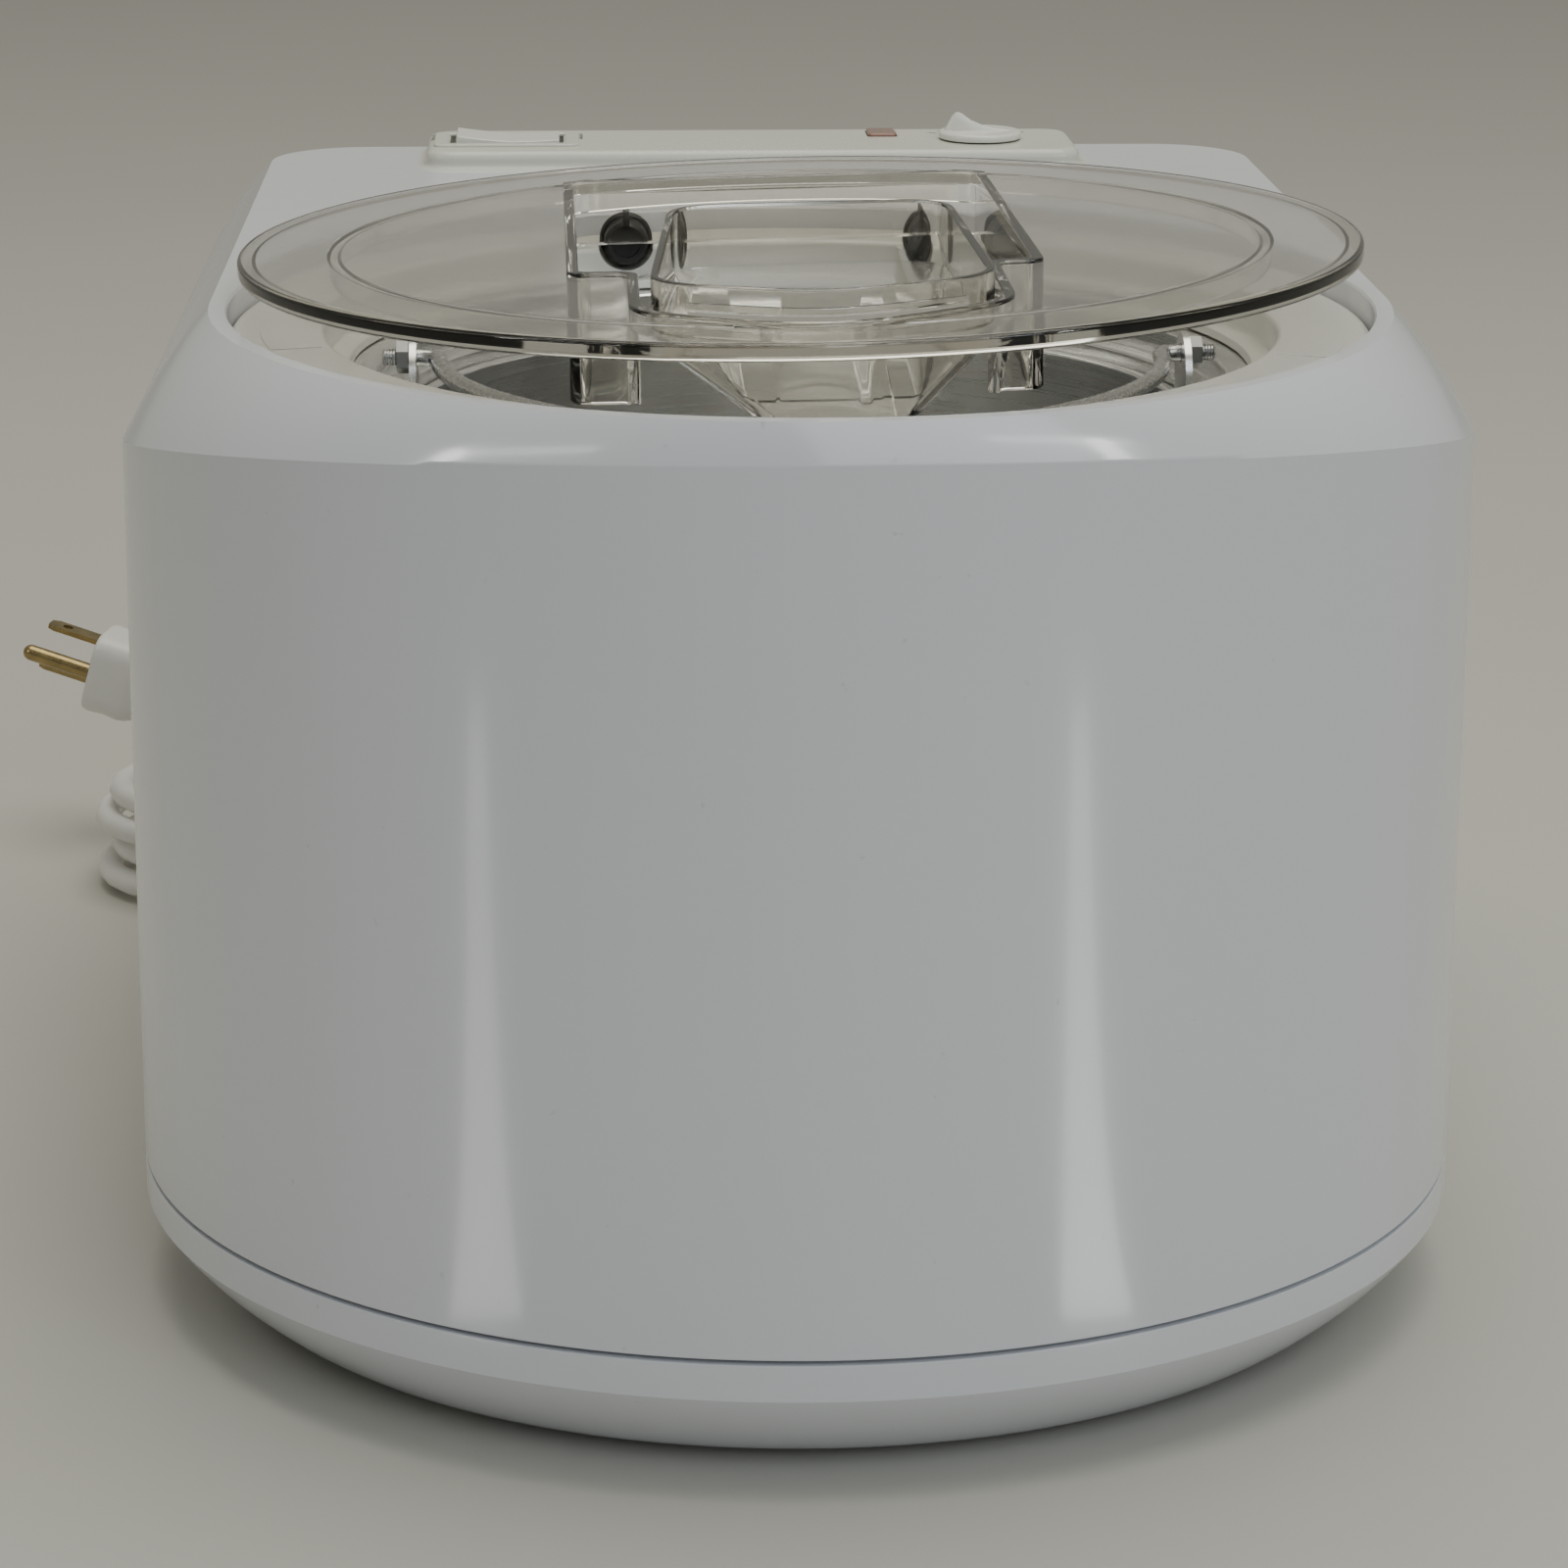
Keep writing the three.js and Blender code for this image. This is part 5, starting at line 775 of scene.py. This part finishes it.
lid = revolve("lid", [(0, -3), (99.9, -3)] + arc(99.9, -3.4, 0.4, 90, 0, 3) + arc(100.8, -7.0, 0.5, 180, 270, 3)
              + arc(102.2, -7.0, 0.5, -90, 0, 3) + arc(103.1, -3.4, 0.4, 180, 90, 3) + [(118.4, -3), (119.2, -3.8)]
              + arc(121.4, -2.8, 1, -90, 0, 5) + arc(121.4, -1, 1, 0, 90, 6) + [(0, 0)], 160, closed=False)
wall_out = loft("wall", [skirt_ring(0.15, -0.5), skirt_ring(0, 0), window_ring(0, -1), window_ring(0, 0.1),
                         window_ring(0.05, 0.4), window_ring(0.2, 0.5)])
wall_in = loft("hole", [window_ring(0.8, -30), skirt_ring(0.8, -0.55), skirt_ring(0.97, -0.2),
                        skirt_ring(1, 0.2), window_ring(1, 0.1), window_ring(0.95, 0.4), window_ring(0.8, 0.52),
                        window_ring(0.8, 1.5)])
lid = boolean(boolean(lid, wall_out, "UNION"), wall_in)
cover = piece("cover", transformed(smooth(lid, 28), lid_place), "lid", mat["clear_plastic"],
              ("lid",))
# Painted shade: the rolled rim gets a darker brown-grey tint, standing in for the light caught in it.
cover.data.materials.append(mat["rim_painted_shade"])
for face in cover.data.polygons:
    if math.hypot(face.center.x, face.center.y - lid_place.translation.y) > RIM_START * MM:
        face.material_index = 1


def funnel_ring(taper, inset, z):
    """Outline of the funnel: taper 0 is its straight band and 1 its foot."""
    def mix(a, b):
        return a + (b - a) * taper
    front, bulge, middle, half = mix(-83, -86), mix(15, 1), mix(0.8, 3), mix(35.4, 16)
    rear, rear_middle, rear_half = mix(16, -61.5), mix(2.8, 3), mix(31.2, 21.5)
    near, far = mix(12, 4.5) - inset, mix(13, 4.5) - inset
    outline = rounded([
        (middle - half + inset, front + inset, near), (middle, front - bulge + inset, 12),
        (middle + half - inset, front + inset, near), (rear_middle + rear_half - inset, rear - inset, far),
        (rear_middle - rear_half + inset, rear - inset, far)], 10)
    return [(x, y, z) for x, y in outline]


WALL_THIN, FUNNEL_FOOT = 1.8, -22.6
funnel = loft("funnel", [funnel_ring(1, 0, FUNNEL_FOOT), funnel_ring(0, 0, -8.5), funnel_ring(0, 0, 5.0),
                         funnel_ring(0, 0.1, 5.35), funnel_ring(0, 0.35, 5.5)])
hook = loft("hook", [window_ring(0.15, 0.65), window_ring(0, 0.8), window_ring(0, 1.7), window_ring(0.15, 2.0)])
hook = boolean(hook, block("span", -27, 29, -112, -84, 0, 10), "INTERSECT")
funnel = boolean(funnel, hook, "UNION")
funnel = boolean(funnel, loft("bore", [
    funnel_ring(1, WALL_THIN, FUNNEL_FOOT), funnel_ring(0, WALL_THIN, -8.0), funnel_ring(0, WALL_THIN, 5.0),
    funnel_ring(0, WALL_THIN - 0.35, 5.52), funnel_ring(0, WALL_THIN - 0.35, 6.5)]))
funnel = boolean(funnel, loft("mouth", [funnel_ring(1, WALL_THIN, -24), funnel_ring(1, WALL_THIN, -22)]))
piece("pouring_funnel", transformed(smooth(funnel, 28), lid_place), "funnel", mat["clear_plastic"],
      ("funnel",))


# Controls on the rear deck

def plate_ring(x0, x1, y0, y1, corner, inset, z, steps=8):
    corner = max(0.3, corner - inset)
    x0, x1, y0, y1 = x0 + inset, x1 - inset, y0 + inset, y1 - inset
    outline = rounded([(x0, y0, corner), (x1, y0, corner), (x1, y1, corner), (x0, y1, corner)], steps)
    return [(x, y, z) for x, y in outline]


def soft_plate(name, x0, x1, y0, y1, corner, z0, z1, edge):
    """A plate whose top edge is rolled over."""
    rings = [plate_ring(x0, x1, y0, y1, corner, 0, z0)]
    for k in range(5):
        angle = math.pi / 2 * k / 4
        rings.append(plate_ring(x0, x1, y0, y1, corner, edge * (1 - math.cos(angle)),
                                z1 - edge * (1 - math.sin(angle))))
    return loft(name, rings)


flares = [(2.0, 224.0), (0.9, 224.2), (0.3, 224.7), (0, 225.4)]
panel = loft("panel", [plate_ring(-88 - out, 83 + out, 120 - out, 160, 8 + out, 0, z) for out, z in flares]
             + [plate_ring(-88, 83, 120, 160, 8, 2.4 * (1 - math.cos(a)), 226.1 + 2.4 * math.sin(a))
                for a in [math.pi / 12 * k for k in range(7)]])
cuts = [block("cut", *SWITCH_HOLE, 223, 230), prism("cut", circle(KNOB_HOLE, 32, *KNOB), 223, 230),
        block("cut", *LAMP_HOLE, 223, 227), block("slit", -86.95, -86.1, 142, 152, 226.5, 230),
        block("slit", -47.9, -47.05, 142, 152, 226.5, 230)]
panel = boolean(panel, joined("cuts", cuts))
panel = boolean(panel, loft("seat", [plate_ring(28.45, 36.55, 144.2, 155.8, 1, 0, z) for z in (225.5, 230)]))
piece("panel", smooth(panel, 30), material=mat["panel_ivory"], replaces=("control_panel",))

bezel = soft_plate("bezel", -86, -48, 128, 152, 3, 228.4, 229.2, 0.4)
bezel = boolean(bezel, loft("hole", [plate_ring(-82.2, -51.8, 131.4, 148.6, 0.8, 0, z) for z in (228, 228.9)]
                        + [plate_ring(-82.6, -51.4, 131.0, 149.0, 1.2, 0, z) for z in (229.2, 230)]))
piece("bezel", smooth(bezel, 30), material=mat["panel_ivory"], replaces=("switch_bezel",))

rocker_place = Matrix.Translation((-0.067, 0.14, 0.221)) @ Matrix.Rotation(0.04, 4, "Y")
ROCKER_HALF = 13.5
rocker_stations = [ROCKER_HALF - 27 * k / 16 for k in range(17)]
rocker_top = [(x, 8.5 + 0.9 * (abs(x) / ROCKER_HALF) ** 1.5) for x in rocker_stations]
rocker_side = ([(-13.5, -4.5), (13.5, -4.5), (13.5, 9.0), (13.3, 9.4)] + rocker_top[1:-1]
               + [(-13.3, 9.4), (-13.5, 9.0)])


def rocker_ring(inset, y):
    return [(x * (1 - inset / ROCKER_HALF), y, 4 + (z - 4) * (1 - inset / 9)) for x, z in rocker_side]


rocker = loft("rocker", [rocker_ring(0.5, -8), rocker_ring(0.15, -7.85), rocker_ring(0, -7.4), rocker_ring(0, 7.4),
                         rocker_ring(0.15, 7.85), rocker_ring(0.5, 8)])
piece("rocker_cap", transformed(smooth(rocker, 40), rocker_place), "rocker", mat["ivory"],
      ("switch_rocker",))

lens = soft_plate("lens", 28.75, 36.25, 144.5, 155.5, 1, 225.8, 229.3, 0.7)
piece("lamp_cover", smooth(lens, 40), material=mat["amber_lens"], replaces=("lamp_lens",))

knob = revolve("knob", [(0, 209), (2.6, 209), (3, 209.4), (3, 228.8), (10.6, 228.8)]
               + arc(10.4, 229.4, 0.6, -90, 0, 3) + arc(10.0, 229.8, 1.0, 0, 90, 5) + [(0, 230.8)],
               64, *KNOB, closed=False)


def fin_ring(y, share):
    """Side view of the grip: steep at one end, with a long hollow slope at the other."""
    side = [(9.2, 0), (8.8, 0.5), (6.5, 0.75), (3.6, 1.1), (0.6, 1.8), (-2.4, 3.1), (-4.6, 4.7), (-5.6, 5.2),
            (-6.5, 5.1), (-7.4, 4.3), (-9.3, 0.8), (-9.7, 0)]
    return [(KNOB[0] + x, KNOB[1] + y, 230.3 + z * share) for x, z in side]


fin = loft("fin", [fin_ring(side * y, share) for side, y, share in (
    (-1, 1.6, 0.1), (-1, 1.35, 0.6), (-1, 1.1, 0.87), (-1, 0.8, 0.97), (-1, 0.4, 1), (1, 0.4, 1), (1, 0.8, 0.97),
    (1, 1.1, 0.87), (1, 1.35, 0.6), (1, 1.6, 0.1))])
piece("dial", smooth(boolean(knob, fin, "UNION"), 32), "timer", mat["ivory"], ("timer_knob",))

ticks = []
for angle in (44, 57, 124, 137):
    turn = Matrix.Translation(Vector((*KNOB, 0)) * MM) @ Matrix.Rotation(math.radians(angle), 4, "Z")
    ticks.append(transformed(block("tick", 14.8, 17.6, -0.35, 0.35, 228.4, 228.56), turn))
piece("dial_marks", joined("marks", ticks), material=mat["print_grey"])


# Finishes of the solids that stay as they are

for row in frame["record"]["subparts"]:
    solid = bpy.data.objects[row["node"]]
    solid.data.materials.clear()
    solid.data.materials.append(mat[row["material_slot"]])
for node in ("bail_nut_left", "bail_nut_right"):
    bpy.data.objects[node].data.materials[0] = mat["nut_metal"]
for node in ("bail_nut_left", "bail_nut_right", "paddle", "compressor", "drive_motor", "filter_drier",
             "fan_blades"):
    bevel = bpy.data.objects[node].modifiers.new("edges", "BEVEL")
    bevel.width = 0.0004
    bevel.segments = 2
    bevel.limit_method = "ANGLE"
    bevel.angle_limit = math.radians(35)


# Floor, light and surroundings

def make_floor():
    mesh = bpy.data.meshes.new("floor")
    corners = [(-9, -5), (9, -5), (9, 13), (-9, 13)]
    mesh.from_pydata([(x, y, -0.0002) for x, y in corners], [], [(0, 1, 2, 3)])
    floor = bpy.data.objects.new("floor", mesh)
    scene.collection.objects.link(floor)
    floor.data.materials.append(finish("floor", (0.56, 0.55, 0.505), 0.5, mottle=0.015, mottle_scale=3,
                                       grain_scale=900, grain=0.05))


def area_light(name, place, target, width, height, power, color, gloss_only=False):
    data = bpy.data.lights.new(name, "AREA")
    data.shape = "RECTANGLE"
    data.size, data.size_y, data.energy, data.color = width, height, power, color
    light = bpy.data.objects.new(name, data)
    scene.collection.objects.link(light)
    light.location = place
    light.rotation_euler = (Vector(target) - Vector(place)).to_track_quat("-Z", "Y").to_euler()
    light.visible_camera = False
    light.visible_diffuse = not gloss_only
    return light


make_floor()
world = bpy.data.worlds.new("world")
scene.world = world
world.use_nodes = True
sky = world.node_tree
backdrop = sky.nodes["Background"]
backdrop.inputs[1].default_value = 0.56
# The surroundings are darker in front of the object.
direction = wired(sky, "ShaderNodeTexCoord").outputs["Generated"]
toward = wired(sky, "ShaderNodeVectorMath", {"operation": "DOT_PRODUCT"}, i0=direction)
toward.inputs[1].default_value = (0, -0.98, 0.2)
shade = wired(sky, "ShaderNodeMapRange", {"From Min": 0.55, "From Max": 0.97}, Value=toward.outputs["Value"])
tone = wired(sky, "ShaderNodeMix", {"data_type": "RGBA"}, i0=shade.outputs[0])
tone.inputs[6].default_value = (0.58, 0.57, 0.50, 1)
tone.inputs[7].default_value = (0.28, 0.29, 0.30, 1)
sky.links.new(tone.outputs[2], backdrop.inputs[0])
area_light("top", (0.15, 0.1, 1.9), (0, 0, 0.1), 1.8, 1.4, 23, (1, 0.975, 0.87))
area_light("front", (0.95, -2.3, 1.7), (0, -0.1, 0.1), 2.2, 1.5, 22, (0.85, 0.925, 1))
for name, side, power, aim, spot, wide in (("left", -1, 0.16, 0.93, (-1.56, -0.81), (-1.36, -1.17)),
                                           ("right", 1, 0.27, 0.71, (1.36, -1.17), (1.22, -1.33))):
    # Pools of light low beside the front, and two lamps above each, all seen only as gloss
    start = Vector((side * 0.066 - 0.003, -0.185, 0.001))
    out = Vector((side * math.sin(aim), -math.cos(aim), 0))
    near, far = start + out * 0.08, start + out * 0.62
    middle = (near + far) / 2
    pool = area_light(f"pool_{name}", middle, middle + Vector((0, 0, 1)), 0.54, 0.034, power, (1, 0.99, 0.97), True)
    pool.rotation_euler = (math.pi, 0, math.atan2(out.y, out.x))
    area_light(f"lamp_{name}", (*spot, 1.05), (0, -0.15, 0.2), 0.14, 0.3, 2.4, (1, 0.99, 0.96), True)
    area_light(f"panel_{name}", (*wide, 1.2), (0, -0.15, 0.2), 0.85, 0.1, 1.4, (1, 0.99, 0.96), True)
